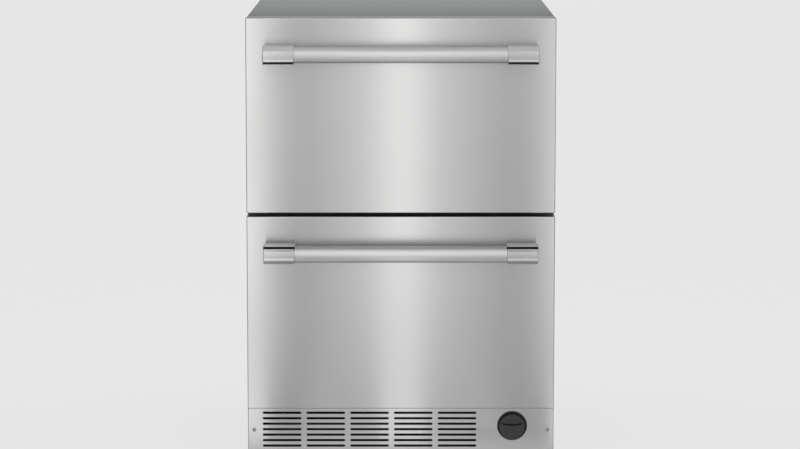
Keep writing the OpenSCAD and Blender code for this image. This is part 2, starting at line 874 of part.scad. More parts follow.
module bin(z0, h, y_end) {
    y0 = y_bin;
    top = z0 + h;
    color(liner_white) difference() {
        union() {
            translate([0, 0, z0]) linear_extrude(h)
                rounded([-bin_x, y0], [bin_x, y_end], bin_r);
            translate([0, 0, top - rim_t]) linear_extrude(rim_t)
                rounded([-x_arm, y0 + eps], [x_arm, y_end + 2 * arm_t], bin_r);
        }
        translate([0, 0, z0 + bin_wall]) linear_extrude(h)
            rounded([bin_wall - bin_x, y0 + bin_wall], [bin_x - bin_wall, y_end - bin_wall], bin_r - bin_wall);
    }
}

module upper_frame() { drawer_frame(z_slide2, y_upper_bin_end); }
module lower_frame() { drawer_frame(z_slide1, y_lower_bin_end); }
module upper_bin() { bin(z_bin2, upper_bin_h, y_upper_bin_end); }
module lower_bin() { bin(z_bin1, lower_bin_h, y_lower_bin_end); }

module ice_tub() {
    gap = 4;
    x0 = gap + bin_wall - bin_x;
    y0 = y_bin + bin_wall + gap;
    y1 = y_lower_bin_end - bin_wall - gap;
    z0 = z_bin1 + bin_wall;
    r = bin_r - bin_wall;
    color([0.8, 0.87, 0.92]) difference() {
        translate([0, 0, z0]) linear_extrude(tub_h) rounded([x0, y0], [x0 + tub_w, y1], r);
        translate([0, 0, z0 + bin_wall]) linear_extrude(tub_h)
            rounded([x0 + bin_wall, y0 + bin_wall], [x0 + tub_w - bin_wall, y1 - bin_wall], r - bin_wall);
    }
}

// ---------- cooling ----------

module evaporator() {
    y1 = y_rear - evaporator_gap;
    lo = [-evaporator_w / 2, y1 - evaporator_d, z_evaporator];
    color(zinc) {
        fin_coil(lo, [evaporator_w / 2, y1, z_evaporator + evaporator_h], 34, 4, 2, 4);
        both_sides() block([evaporator_w / 2 - 14, y1 - 4, z_evaporator - header_h],
                           [evaporator_w / 2 - 10, y_rear, z_evaporator + evaporator_h]);
        block([line_x[0] - 8, line_y - 6, z_evaporator - header_h], [line_x[1] + 8, line_y + 6, z_evaporator + eps]);
    }
}

module evaporator_cover() {
    gap = 1;
    x = x_open - gap;
    slot_w = 90;
    slot_z = 6;
    guard = 3;
    color(liner_white) difference() {
        block([-x, y_air, z_bay_liner], [x, y_rear - eps, z_ceil1]);
        block([liner_t - x, y_air + liner_t, z_bay_liner - 1], [x - liner_t, y_rear + 1, z_ceil1 + 1]);
        for (sx = [-2 : 2], k = [0 : 2])
            translate([sx * slot_w * 1.1, 0, z_bay_liner + 14 + k * 12])
                along_y(y_air - 1, y_air + liner_t + 1)
                    rounded([-slot_w / 2, 0], [slot_w / 2, slot_z], slot_z / 2 - eps);
        along_y(y_air - 1, y_air + liner_t + 1) translate([0, cold_fan_z]) difference() {
            circle(r = cold_ring_r);
            difference() {
                circle(r = cold_ring_r * 0.65);
                circle(r = cold_ring_r * 0.65 - guard);
            }
            circle(r = cold_ring_r * 0.35);
            for (a = [0, 60, 120])
                rotate(a) square([2 * cold_ring_r + 4, guard], center = true);
        }
        corner_cut(x);
    }
}

// Takes off the corners of the evaporator cover where the liner is round
module corner_cut(x) {
    both_sides() along_y(y_air - 1, y_rear + 1) difference() {
        translate([x - liner_r, z_ceil1 - liner_r]) square([liner_r + 2, liner_r + 2]);
        translate([x - liner_r, z_ceil1 - liner_r]) circle(r = liner_r - 1);
    }
}

module evaporator_fan_motor() {
    motor_r = 17;
    y0 = cold_fan_y + 10;
    color(dark_paint) difference() {
        union() {
            translate([0, 0, cold_fan_z]) along_y(y0, y_rear) circle(r = motor_r);
            translate([0, 0, cold_fan_z]) along_y(y_rear - 3, y_rear)
                rounded([-40, -12], [40, 12], 6);
        }
        translate([0, y0 - 1, cold_fan_z]) rotate([-90, 0, 0])
            cylinder(r = 2 + shaft_gap, h = 14);
    }
}

module evaporator_fan_blades() {
    color([0.85, 0.86, 0.88]) translate([0, cold_fan_y, cold_fan_z]) {
        fan_blades(cold_fan_d / 2 - 1, 13, 5, 14);
        rotate([-90, 0, 0]) cylinder(r = 2, h = 20);
    }
}

function dome(r, h, n) = [for (i = [0 : n]) [r * cos(90 * i / n), h * sin(90 * i / n)]];

module compressor() {
    r = compressor_d / 2;
    low = shell_low;
    cap_h = compressor_h - low - foot_t;
    translate([compressor_right, compressor_y, z_base + grommet_h]) color(dark_paint) {
        linear_extrude(foot_t) difference() {
            rounded([-r, -r * 0.75], [r, r * 0.75], 12);
            for (x = [-r + 13, r - 13], y = [-r * 0.75 + 13, r * 0.75 - 13])
                translate([x, y]) circle(r = 6);
        }
        translate([0, 0, foot_t - eps]) rotate_extrude() polygon(concat(
            [[0, 0], [r * 0.7, 0], [shell_r, low * 0.3], [shell_r, low], [r * 0.96, low], [r * 0.96, low + 5]],
            [for (p = dome(shell_r, cap_h - 5, 7)) [p[0], low + 5 + p[1]]]
        ));
        difference() {
            block([-24, -r - 8, low], [24, -r * 0.7, low + 46]);
            translate([0, 0, -1]) cylinder(r = r * 0.8, h = compressor_h);
        }
    }
}

module compressor_grommets() {
    r = compressor_d / 2;
    color([0.1, 0.1, 0.1])
        for (x = [-r + 13, r - 13], y = [-r * 0.75 + 13, r * 0.75 - 13])
            translate([compressor_right + x, compressor_y + y, z_base]) {
                cylinder(r = 9, h = grommet_h);
                cylinder(r = 6 - 0.05, h = grommet_h + 6);
            }
}

module condenser() {
    x0 = -condenser_left - condenser_w / 2;
    x1 = x0 + condenser_w;
    color([0.25, 0.25, 0.26]) {
        fin_coil([x0 + 2, y_condenser, z_base + 2], [x1 - 2, y_condenser + condenser_d, z_base + condenser_h],
                 22, 6, 2, 4);
        for (x = [x0, x1 - 2 - eps])
            block([x, y_condenser, z_base], [x + 2 + eps, y_condenser + condenser_d, z_base + condenser_h]);
    }
}

module condenser_fan_shroud() {
    r = fan_d / 2 + fan_ring_gap;
    x = -condenser_left;
    half = condenser_w / 2;
    motor_y = y_fan + blade_d + 6;
    motor_r = 26;
    color(dark_paint) difference() {
        union() {
            along_y(y_fan - 6, y_fan - 4) difference() {
                rounded([x - half, z_base], [x + half, z_base + condenser_h], 6);
                translate([x, fan_z]) circle(r = r);
            }
            along_y(y_fan - 6, y_fan + blade_d) translate([x, fan_z]) difference() {
                circle(r = r + 2);
                circle(r = r);
            }
            translate([x, 0, fan_z]) {
                along_y(motor_y, motor_y + 34) circle(r = motor_r);
                for (a = [30, 150, 270])
                    rotate([0, a, 0]) {
                        block([motor_r - 4, motor_y, -4], [r + 2, motor_y + 4, 4]);
                        block([r, y_fan, -4], [r + 2, motor_y + 4, 4]);
                    }
            }
        }
        translate([x, motor_y - 1, fan_z]) rotate([-90, 0, 0]) cylinder(r = 3 + shaft_gap, h = 20);
    }
}

module condenser_fan_blades() {
    color([0.2, 0.2, 0.21]) translate([-condenser_left, y_fan + blade_d / 2, fan_z]) {
        fan_blades(fan_d / 2, 22, 6, blade_d);
        rotate([-90, 0, 0]) cylinder(r = 3, h = blade_d / 2 + 6 + 12);
    }
}

// The hot line from the compressor to the condenser, the liquid line with its drier up to the
// evaporator, and the suction line back to the compressor
module refrigerant_lines() {
    coil = [-condenser_left + condenser_w / 2, y_condenser + condenser_d / 2];
    drier_r = 10;
    hot_x = line_x[0] - line_r - drier_r - 3;
    z_hot = z_base + condenser_h - 30;
    z_cool = z_base + 30;
    z_top = z_evaporator - header_h;
    shell_z = z_base + grommet_h + foot_t;
    z_out = shell_z + shell_low - 3 * line_r;
    z_in = shell_z + shell_low * 0.3 + 3 * line_r;
    shell_x = compressor_right - shell_r;
    color([0.72, 0.42, 0.26]) {
        bent_tube([
            [coil[0], coil[1], z_hot], [hot_x, coil[1], z_hot], [hot_x, coil[1], z_out],
            [hot_x, compressor_y, z_out], [shell_x, compressor_y, z_out]
        ], line_r);
        bent_tube([
            [coil[0], coil[1], z_cool], [line_x[0], coil[1], z_cool],
            [line_x[0], line_y, z_cool], [line_x[0], line_y, z_top]
        ], line_r);
        rod([line_x[0], coil[1] + 12, z_cool], [line_x[0], compressor_y - 14, z_cool], drier_r);
        bent_tube([
            [line_x[1], line_y, z_top], [line_x[1], line_y, z_in],
            [line_x[1], compressor_y, z_in], [shell_x, compressor_y, z_in]
        ], line_r);
    }
}

module drain_pan() {
    wall = 2;
    height = 34;
    lo = [-x_foam + drain_gap, leg_y[0] + nut_r + 6, z_base];
    hi = [box_x0 - drain_gap, y_bay - 16, z_base + height];
    color(dark_paint) difference() {
        translate([0, 0, lo[2]]) linear_extrude(height) rounded([lo[0], lo[1]], [hi[0], hi[1]], 12);
        translate([0, 0, lo[2] + wall]) linear_extrude(height)
            rounded([lo[0] + wall, lo[1] + wall], [hi[0] - wall, hi[1] - wall], 12 - wall);
    }
}

module electrical_box() {
    lo = [box_x0, y_cab + 50, z_base];
    hi = [box_x1, y_cab + 50 + box_d, z_deck - 12];
    lid = 1.5;
    color(dark_paint) {
        block(lo, [hi[0], hi[1], hi[2] - lid]);
        block([lo[0] - lid, lo[1] - lid, hi[2] - lid - 10], [hi[0] + lid, hi[1] + lid, hi[2]]);
    }
}

// ---------- base grille and filter ----------

module toe_grille() {
    color(stainless) difference() {
        sheet_pan(x_side, floor_gap, z_grille, y_grille, y_cab, skin_t, bend_r);
        for (i = [0 : slot_cols - 1], j = [0 : slot_rows - 1])
            translate([slot_x0 + slot_len / 2 + i * (slot_len + slot_web), 0,
                       z_grille - slot_drop - j * slot_pitch_z])
                along_y(y_grille - 1, y_grille + skin_t + 1)
                    slot(slot_len, slot_h);
        translate([cap_x, y_grille - 1, cap_z]) rotate([-90, 0, 0]) cylinder(r = housing_r, h = skin_t + 2);
        both_sides() translate([screw_x, y_grille - 1, z_grille - screw_drop])
            rotate([-90, 0, 0]) cylinder(r = screw_d / 2 + 0.1, h = skin_t + 2);
    }
}

// A slot with round ends
module slot(length, height) {
    square([length - height, height], center = true);
    for (s = [-1, 1]) translate([s * (length - height) / 2, 0]) circle(d = height, $fn = 24);
}

module grille_screws() {
    head_h = 2.2;
    color(zinc) both_sides()
        translate([screw_x, y_grille, z_grille - screw_drop]) rotate([90, 0, 0]) {
            difference() {
                intersection() {
                    cylinder(d = screw_head_d, h = head_h);
                    translate([0, 0, head_h - 6]) sphere(r = 6);
                }
                for (a = [0, 90]) rotate(a) translate([0, 0, head_h]) cube([4, 0.9, 2.4], center = true);
            }
            translate([0, 0, -12]) cylinder(d = screw_d, h = 12 + eps);
        }
}

module filter_housing() {
    y0 = y_grille + skin_t;
    y1 = y_cartridge + cartridge_len + cartridge_neck + 16;
    color(dark_paint) difference() {
        union() {
            translate([cap_x, 0, cap_z]) along_y(y0, y1) circle(r = housing_out);
            for (y = [y_cab + 14, y1 - 40])
                block([cap_x - 22, y, z_base], [cap_x + 22, y + 16, cap_z - housing_out * 0.7]);
            for (s = [-1, 1])
                translate([cap_x + s * 14, y1 - eps, cap_z]) rotate([-90, 0, 0]) cylinder(r = 6, h = 22);
        }
        translate([cap_x, 0, cap_z]) {
            along_y(y0 - 1, y_cartridge + cartridge_len + 0.5) circle(r = housing_r);
            along_y(y0, y_cartridge + cartridge_len + cartridge_neck + 0.5) circle(r = 10.4);
        }
    }
}

module filter_cartridge() {
    r = cartridge_d / 2;
    color([0.93, 0.94, 0.95])
        translate([cap_x, y_cartridge, cap_z]) rotate([-90, 0, 0]) {
            rotate_extrude() polygon(concat(
                [[0, 0], [r - 3, 0], [r, 3], [r, cartridge_len - 22], [r - 2, cartridge_len - 20],
                 [r - 2, cartridge_len - 14]],
                [for (p = dome(r - 12, 12, 5)) [p[0] + 10, cartridge_len - 14 + p[1]]],
                [[10, cartridge_len + cartridge_neck], [0, cartridge_len + cartridge_neck]]
            ));
            for (z = [cartridge_len + 4, cartridge_len + 9])
                translate([0, 0, z]) cylinder(r = 10.3, h = 2.5);
            translate([0, 0, -spigot_len]) cylinder(r = spigot_d / 2, h = spigot_len + eps);
        }
}

// The cap: a rim round a face, with a finger pocket above the grip edge
module filter_cap() {
    rim = 3.2;
    pocket_r = cap_r - rim - 2;
    pocket_d = 8;
    grip_z = 4;
    thick = cap_proud + cap_back;
    color([0.1, 0.1, 0.1])
        translate([cap_x, y_cap, cap_z]) difference() {
            rotate([-90, 0, 0]) rotate_extrude() polygon([
                [0, 1.2], [cap_r - rim, 1.2], [cap_r - rim + 0.6, 0], [cap_r - 1, 0], [cap_r, 1],
                [cap_r, thick], [0, thick]
            ]);
            intersection() {
                rotate([-90, 0, 0]) translate([0, 0, -1]) cylinder(r = pocket_r, h = pocket_d + 1);
                along_x(-cap_r, cap_r) polygon([
                    [-1, grip_z], [pocket_d, grip_z], [pocket_d, grip_z + 3], [3, cap_r], [-1, cap_r]
                ]);
            }
            translate([0, thick - spigot_len - 0.3, 0])
                rotate([-90, 0, 0]) cylinder(r = spigot_d / 2 + shaft_gap, h = spigot_len + 2);
        }
}

module water_valve() {
    half_w = 20;
    half_h = 18;
    depth = 30;
    coil_r = 11;
    coil_h = 30;
    foot = 14;
    y1 = y_cover - 4;
    color([0.16, 0.3, 0.55]) {
        translate([valve_x, 0, valve_z]) {
            along_y(y1 - depth, y1) rounded([-half_w, -half_h], [half_w, half_h], 5);
            along_y(y1 - eps, y_cover + sheet_t + 1) circle(r = valve_r - 3);
            along_y(y_cover + sheet_t + 0.5, y_cover + sheet_t + valve_end) circle(r = valve_r);
            translate([0, y1 - depth / 2, half_h - eps]) cylinder(r = coil_r, h = coil_h);
        }
        block([valve_x - foot, y1 - depth + 2, z_base], [valve_x + foot, y1 - 2, valve_z - half_h + 1]);
    }
}

module power_inlet() {
    color([0.1, 0.1, 0.1]) translate([gland_x, y_cover, gland_z]) {
        translate([0, -12, 0]) rotate([-90, 0, 0]) cylinder(r = gland_r - 0.05, h = 12 + sheet_t);
        translate([0, sheet_t - eps, 0]) rotate([-90, 0, 0]) difference() {
            cylinder(r = gland_r + 4, h = 9, $fn = 6);
            translate([0, 0, 3]) cylinder(r = 5, h = 8);
        }
    }
}

// ---------- ice maker ----------

// The mould: cavities with ribs between them, and a comb whose teeth stand over the ribs and leave
// room for the ejector's fingers
module ice_mould() {
    wall = 3;
    half = ice_r + 8;
    y1 = y_mould + ice_len;
    rib = 3;
    comb_z = ice_z + 7;
    color(zinc) difference() {
        union() {
            difference() {
                along_y(y_mould, y1) translate([ice_x, ice_z]) difference() {
                    translate([-half, -ice_r - wall]) square([2 * half, ice_r + wall + 3]);
                    circle(r = ice_r);
                }
                block([ice_x - ice_r, y_mould - 1, ice_z], [ice_x + ice_r, y1 + 1, ice_z + 5]);
            }
            for (i = [0 : ice_cells])
                along_y(y_mould + i * (ice_pitch - rib / ice_cells), y_mould + i * (ice_pitch - rib / ice_cells) + rib)
                    translate([ice_x, ice_z]) intersection() {
                        circle(r = ice_r + 0.5);
                        translate([-ice_r - 1, -ice_r - 1]) square([2 * ice_r + 2, ice_r - 1]);
                    }
            block([ice_x - half, y_mould, ice_z + 2.5], [ice_x - half + 3, y1, comb_z + 2]);
            for (i = [0 : ice_cells])
                block([ice_x - half, y_mould + max(0, i * ice_pitch - comb_w / 2), comb_z],
                      [ice_x - 9, y_mould + min(ice_len, i * ice_pitch + comb_w / 2), comb_z + 2]);
            block([ice_x - 12, y1 - 3, ice_z - 10], [ice_x + 12, y1, ice_z + 12]);
        }
        translate([ice_x, y_mould - 1, ice_z]) rotate([-90, 0, 0])
            cylinder(r = ejector_r + shaft_gap, h = ice_len + 2);
    }
}

module ice_maker_housing() {
    half = ice_r + 8;
    y0 = y_ice_drive;
    color(liner_white) difference() {
        union() {
            along_y(y0, y_mould) translate([ice_x, ice_z])
                rounded([-half, -ice_r - 6], [half, 26], 8);
            for (s = [-1, 1])
                block([ice_x + s * 26 - 5, y0 + 8, ice_z + 24], [ice_x + s * 26 + 5, y_mould - 8, z_ceil1]);
            block([arm_pivot_x - 8, y0 + 6, arm_pivot_z - 8], [arm_pivot_x + 6, y_mould - 4, arm_pivot_z + 8]);
        }
        translate([ice_x, y_mould - 14, ice_z]) rotate([-90, 0, 0])
            cylinder(r = ejector_r + shaft_gap, h = 20);
        translate([arm_pivot_x, y_mould - 4 - arm_seat - 0.5, arm_pivot_z]) rotate([-90, 0, 0])
            cylinder(r = arm_wire_r + shaft_gap, h = arm_seat + 2);
    }
}

module ice_ejector() {
    finger_t = 3;
    finger_len = ice_r - 3;
    color([0.9, 0.9, 0.88]) translate([ice_x, 0, ice_z]) {
        along_y(y_mould - 12, y_mould + ice_len - 0.5) circle(r = ejector_r);
        for (i = [0 : ice_cells - 1])
            translate([0, y_mould + (i + 0.5) * ice_pitch, 0])
                along_y(-finger_t / 2, finger_t / 2) polygon([
                    [-4, 0], [4, 0], [3, finger_len * 0.7], [0, finger_len], [-2, finger_len]
                ]);
    }
}

module ice_arm() {
    x = arm_pivot_x;
    y0 = y_mould - 4;
    far = y0 + arm_span;
    low = arm_pivot_z - arm_drop;
    color(zinc) bent_tube([
        [x, y0 - arm_seat, arm_pivot_z], [x, y0 + 10, arm_pivot_z], [x, y0 + 10, low],
        [x, far, low], [x, far, arm_pivot_z - 10]
    ], arm_wire_r);
}

// ---------- legs ----------

module leg(x, y) {
    foot_h = 9;
    color([0.2, 0.2, 0.2]) translate([x, y, 0]) {
        rotate_extrude() polygon([
            [0, 0], [foot_d / 2 - 1, 0], [foot_d / 2, 1], [foot_d / 2, 4], [stem_d / 2 + 3, foot_h], [0, foot_h]
        ]);
        translate([0, 0, foot_h - eps]) cylinder(r = stem_d / 2 + 3, h = 6, $fn = 6);
        cylinder(r = stem_d / 2, h = z_base + nut_h + leg_travel);
    }
}

module front_left_leg() { leg(-leg_x, leg_y[0]); }
module front_right_leg() { leg(leg_x, leg_y[0]); }
module rear_left_leg() { leg(-leg_x, leg_y[1]); }
module rear_right_leg() { leg(leg_x, leg_y[1]); }

cabinet_shell();
back_panel();
rear_cover();
base_pan();
deck_panel();
insulation_foam();
upper_liner();
lower_liner();
mullion();
control_panel();
light_lenses();
slide_rails();
evaporator();
evaporator_cover();
evaporator_fan_motor();
evaporator_fan_blades();
compressor();
compressor_grommets();
condenser();
condenser_fan_shroud();
condenser_fan_blades();
refrigerant_lines();
drain_pan();
electrical_box();
toe_grille();
grille_screws();
filter_housing();
filter_cartridge();
filter_cap();
water_valve();
power_inlet();
ice_mould();
ice_maker_housing();
ice_ejector();
ice_arm();
front_left_leg();
front_right_leg();
rear_left_leg();
rear_right_leg();
upper_skin();
upper_core();
upper_inner_liner();
upper_gasket();
upper_handle_bar();
upper_handle_brackets();
upper_frame();
upper_bin();
upper_runners();
upper_slide_members();
lower_skin();
lower_core();
lower_inner_liner();
lower_gasket();
lower_handle_bar();
lower_handle_brackets();
lower_frame();
lower_bin();
lower_runners();
lower_slide_members();
ice_tub();
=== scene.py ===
"""Looks of an undercounter refrigerator with two stainless drawers, a base grille and a filter cap.

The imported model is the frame: metres, +X to the right, +Y to the back, +Z up. Pieces that need round
edges, folds, ribs or threads are worked out here as numpy surfaces and ride on the model's bodies. Every
other node keeps its solid and gets a finish.
"""

import json
import logging
import math
from dataclasses import dataclass, field
from enum import Enum
from typing import Iterable, Sequence

import bmesh
import bpy
import numpy as np
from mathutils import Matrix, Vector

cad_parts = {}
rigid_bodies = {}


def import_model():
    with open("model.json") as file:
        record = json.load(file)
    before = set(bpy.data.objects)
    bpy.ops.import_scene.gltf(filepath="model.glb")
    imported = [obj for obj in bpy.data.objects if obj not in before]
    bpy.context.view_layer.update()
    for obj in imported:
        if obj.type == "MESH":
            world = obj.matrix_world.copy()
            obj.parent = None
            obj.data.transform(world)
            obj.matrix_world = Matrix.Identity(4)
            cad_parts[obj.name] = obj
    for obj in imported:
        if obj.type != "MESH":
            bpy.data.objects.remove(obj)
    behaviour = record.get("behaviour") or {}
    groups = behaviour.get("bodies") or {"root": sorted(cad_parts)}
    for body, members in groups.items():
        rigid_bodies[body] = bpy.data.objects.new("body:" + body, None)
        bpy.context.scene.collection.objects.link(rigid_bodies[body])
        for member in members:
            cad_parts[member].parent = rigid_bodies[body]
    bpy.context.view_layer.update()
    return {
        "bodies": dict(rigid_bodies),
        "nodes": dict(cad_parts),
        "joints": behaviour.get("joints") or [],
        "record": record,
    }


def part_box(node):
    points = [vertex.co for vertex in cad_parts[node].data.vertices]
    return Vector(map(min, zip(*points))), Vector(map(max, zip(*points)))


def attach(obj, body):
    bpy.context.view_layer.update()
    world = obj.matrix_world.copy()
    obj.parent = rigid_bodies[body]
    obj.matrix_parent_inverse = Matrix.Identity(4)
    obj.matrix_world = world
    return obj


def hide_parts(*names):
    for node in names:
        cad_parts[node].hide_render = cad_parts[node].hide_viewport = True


LOG = logging.getLogger("refrigerator")
MM = 0.001
SHARP_ANGLE = 32.0  # edges that bend more than this, in degrees, are shaded as edges
LEAST_RADIUS = 0.3 * MM  # no corner of a folded sheet is sharper
MERGE_DISTANCE = 1e-6  # points that are closer become one
LAMP_HEIGHT = 2 * MM  # of the lamps that lie on the floor
Colour = tuple[float, float, float]
FRAME: dict = {}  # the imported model, which main() loads before anything is built


class Side(Enum):
    """The two drawers, which name their bodies and nodes."""

    UPPER = "upper"
    LOWER = "lower"


# ---------- meshes from arrays ----------


@dataclass
class Surface:
    """A surface as arrays.

    Attributes:
        points: An array of points × 3.
        quads: Four-sided faces, as an array of faces × 4 places in the points.
        caps: Flat faces with more corners, each an array of such places.
    """

    points: np.ndarray
    quads: np.ndarray
    caps: list[np.ndarray] = field(default_factory=list)

    def flipped_x(self) -> "Surface":
        """The mirror image across the middle plane of the unit."""
        return Surface(self.points * np.array([-1.0, 1.0, 1.0]), self.quads[:, ::-1], self.caps)


def lattice(points: np.ndarray, wrap_rows: bool = False, wrap_columns: bool = True,
            cap_first: bool = False, cap_last: bool = False) -> Surface:
    """Joins a grid of points into a surface.

    Point (r, c) is joined to (r + 1, c), (r + 1, c + 1) and (r, c + 1); an index past the end starts
    again at zero where that direction wraps.

    Args:
        points: An array of rows × columns × 3.
        wrap_rows: The last row is joined to the first.
        wrap_columns: The last column is joined to the first.
        cap_first: The first row is closed by one flat face.
        cap_last: The last row is closed by one flat face.

    Returns:
        The surface.
    """
    rows, columns = points.shape[:2]
    row = np.arange(rows if wrap_rows else rows - 1)[:, None]
    column = np.arange(columns if wrap_columns else columns - 1)[None, :]
    next_row = (row + 1) % rows
    next_column = (column + 1) % columns
    corners = [row * columns + column, next_row * columns + column,
               next_row * columns + next_column, row * columns + next_column]
    quads = np.stack(np.broadcast_arrays(*corners), axis=-1).reshape(-1, 4)
    caps = []
    if cap_first:
        caps.append(np.arange(columns))
    if cap_last:
        caps.append(np.arange(columns)[::-1] + (rows - 1) * columns)
    return Surface(points.reshape(-1, 3), quads, caps)


def repeated(surface: Surface, offsets: np.ndarray) -> Surface:
    """Copies of a surface, one at each offset.

    Args:
        surface: The surface to repeat.
        offsets: An array of copies × 3.

    Returns:
        One surface that holds all the copies.
    """
    count = len(surface.points)
    points = (surface.points[None] + offsets[:, None, :]).reshape(-1, 3)
    shifts = np.arange(len(offsets)) * count
    quads = (surface.quads[None] + shifts[:, None, None]).reshape(-1, 4)
    caps = [cap + shift for shift in shifts for cap in surface.caps]
    return Surface(points, quads, caps)


def rectangle_loop(low: np.ndarray, high: np.ndarray, radius: float, steps: int = 6) -> np.ndarray:
    """A rectangle with round corners as a closed loop.

    Each corner is a quarter circle: its centre stands one radius in from both sides, and the points are
    centre + radius · (cos t, sin t).

    Args:
        low: The lowest corner, two numbers.
        high: The highest corner, two numbers.
        radius: The corner radius.
        steps: The number of pieces in each quarter circle.

    Returns:
        An array of points × 2.
    """
    corners = np.array([[1, 1], [0, 1], [0, 0], [1, 0]])
    centres = np.where(corners == 1, np.asarray(high) - radius, np.asarray(low) + radius)
    turn = np.linspace(0, np.pi / 2, steps + 1)[None, :] + (np.arange(4) * np.pi / 2)[:, None]
    arcs = centres[:, None, :] + radius * np.stack([np.cos(turn), np.sin(turn)], axis=-1)
    return arcs.reshape(-1, 2)


def softened(corners: np.ndarray, reach: float | np.ndarray, steps: int = 4) -> np.ndarray:
    """A closed outline whose corners are rounded.

    Each corner P becomes a quadratic curve from A to B, which lie on its two edges at the given reach:
    (1 − s)² A + 2 s (1 − s) P + s² B. A rounding takes at most a given share of an edge, so that a short
    edge keeps a little of its straight part.

    Args:
        corners: An array of corners × 2.
        reach: How far the rounding goes along each edge, one number or one for each corner.
        steps: The number of pieces in each rounding.

    Returns:
        An array of points × 2.
    """
    most_of_edge = 0.48
    before = np.roll(corners, 1, axis=0) - corners
    after = np.roll(corners, -1, axis=0) - corners
    length_before = np.linalg.norm(before, axis=1, keepdims=True)
    length_after = np.linalg.norm(after, axis=1, keepdims=True)
    wanted = np.broadcast_to(np.asarray(reach, float), (len(corners),))[:, None]
    start = corners + before / length_before * np.minimum(wanted, most_of_edge * length_before)
    end = corners + after / length_after * np.minimum(wanted, most_of_edge * length_after)
    s = np.linspace(0, 1, steps + 1)[None, :, None]
    curve = (1 - s) ** 2 * start[:, None] + 2 * s * (1 - s) * corners[:, None] + s ** 2 * end[:, None]
    return curve.reshape(-1, 2)


def loop_normals(loop: np.ndarray) -> np.ndarray:
    """Unit vectors that point out of a counter-clockwise loop: the tangent turned by a right angle.

    Args:
        loop: An array of points × 2.

    Returns:
        An array of the same form.
    """
    tangent = np.roll(loop, -1, axis=0) - np.roll(loop, 1, axis=0)
    normal = np.stack([tangent[:, 1], -tangent[:, 0]], axis=1)
    return normal / np.maximum(np.linalg.norm(normal, axis=1, keepdims=True), 1e-12)


def quarter(start: float, end: float, steps: int) -> np.ndarray:
    """Angles from start to end, in degrees, given back in radians."""
    return np.radians(np.linspace(start, end, steps + 1))


def revolved(profile: np.ndarray, origin: Sequence[float], steps: int = 48) -> Surface:
    """A profile turned round Z: (r, h) becomes r cos t, r sin t and h.

    Args:
        profile: An array of points × 2, each a radius and a height; it begins and ends on the axis.
        origin: The point on the axis where the height is zero.
        steps: The number of pieces in a full turn.

    Returns:
        The closed surface.
    """
    turn = np.linspace(0, 2 * np.pi, steps, endpoint=False)[None, :]
    radius = profile[:, :1]
    height = np.broadcast_to(profile[:, 1:], (len(profile), steps))
    points = np.stack([radius * np.cos(turn), radius * np.sin(turn), height], axis=-1)
    return lattice(points + np.asarray(origin, float))


def slab(front: np.ndarray, back: np.ndarray) -> Surface:
    """A plate between two grids of points that face away from each other.

    Each grid is joined to quads by itself, and the borders of the two grids are joined by walls.

    Args:
        front: An array of rows × columns × 3.
        back: An array of the same form.

    Returns:
        The closed surface.
    """
    rows, columns = front.shape[:2]
    first = lattice(front, wrap_columns=False).quads
    second = lattice(back, wrap_columns=False).quads[:, ::-1] + rows * columns
    index = np.arange(rows * columns).reshape(rows, columns)
    border = np.concatenate([index[0, :-1], index[:-1, -1], index[-1, :0:-1], index[:0:-1, 0]])
    after = np.roll(border, -1)
    walls = np.stack([border, after, after + rows * columns, border + rows * columns], axis=1)
    return Surface(np.concatenate([front.reshape(-1, 3), back.reshape(-1, 3)]),
                   np.concatenate([first, second, walls[:, ::-1]]))


def polar_loop(radius: np.ndarray, centre: Sequence[float] = (0.0, 0.0)) -> np.ndarray:
    """A closed loop round a centre: the radius at each of its evenly spaced angles."""
    turn = np.linspace(0, 2 * np.pi, len(radius), endpoint=False)
    return np.stack([centre[0] + radius * np.cos(turn), centre[1] + radius * np.sin(turn)], axis=1)


def hexagon_radius(across: float, steps: int) -> np.ndarray:
    """Radii of a hexagon: half the width over its flats, divided by the cosine of the angle from a flat."""
    turn = np.linspace(0, 2 * np.pi, steps, endpoint=False)
    return across / 2 / np.cos((turn + np.pi / 6) % (np.pi / 3) - np.pi / 6)


def cross_radius(half_width: float, half_length: float, steps: int) -> np.ndarray:
    """Radii of an upright cross: the larger one of a lying and a standing bar's radius at each angle.

    Args:
        half_width: Half the width of each bar.
        half_length: Half the length of each bar.
        steps: The number of angles in a full turn.

    Returns:
        One radius for each angle.
    """
    turn = np.linspace(0, 2 * np.pi, steps, endpoint=False) + 1e-6
    cosine, sine = np.abs(np.cos(turn)), np.abs(np.sin(turn))
    lying = np.minimum(half_length / cosine, half_width / sine)
    standing = np.minimum(half_width / cosine, half_length / sine)
    return np.maximum(lying, standing)


def facing_y(loops: Sequence[np.ndarray], depths: Sequence[float], origin: Sequence[float],
             sign: float) -> Surface:
    """Stacks loops along Y into a closed surface.

    Args:
        loops: Loops of the same number of points × 2, in X and Z.
        depths: How far each loop stands out along the direction given by the sign.
        origin: The point that the loops and depths start from.
        sign: -1 stands out to the front, 1 to the back.

    Returns:
        The closed surface.
    """
    points = np.stack([np.stack([loop[:, 0], np.full(len(loop), sign * depth), loop[:, 1]], axis=1)
                       for loop, depth in zip(loops, depths)])
    return lattice(points + np.asarray(origin, float), cap_first=True, cap_last=True)


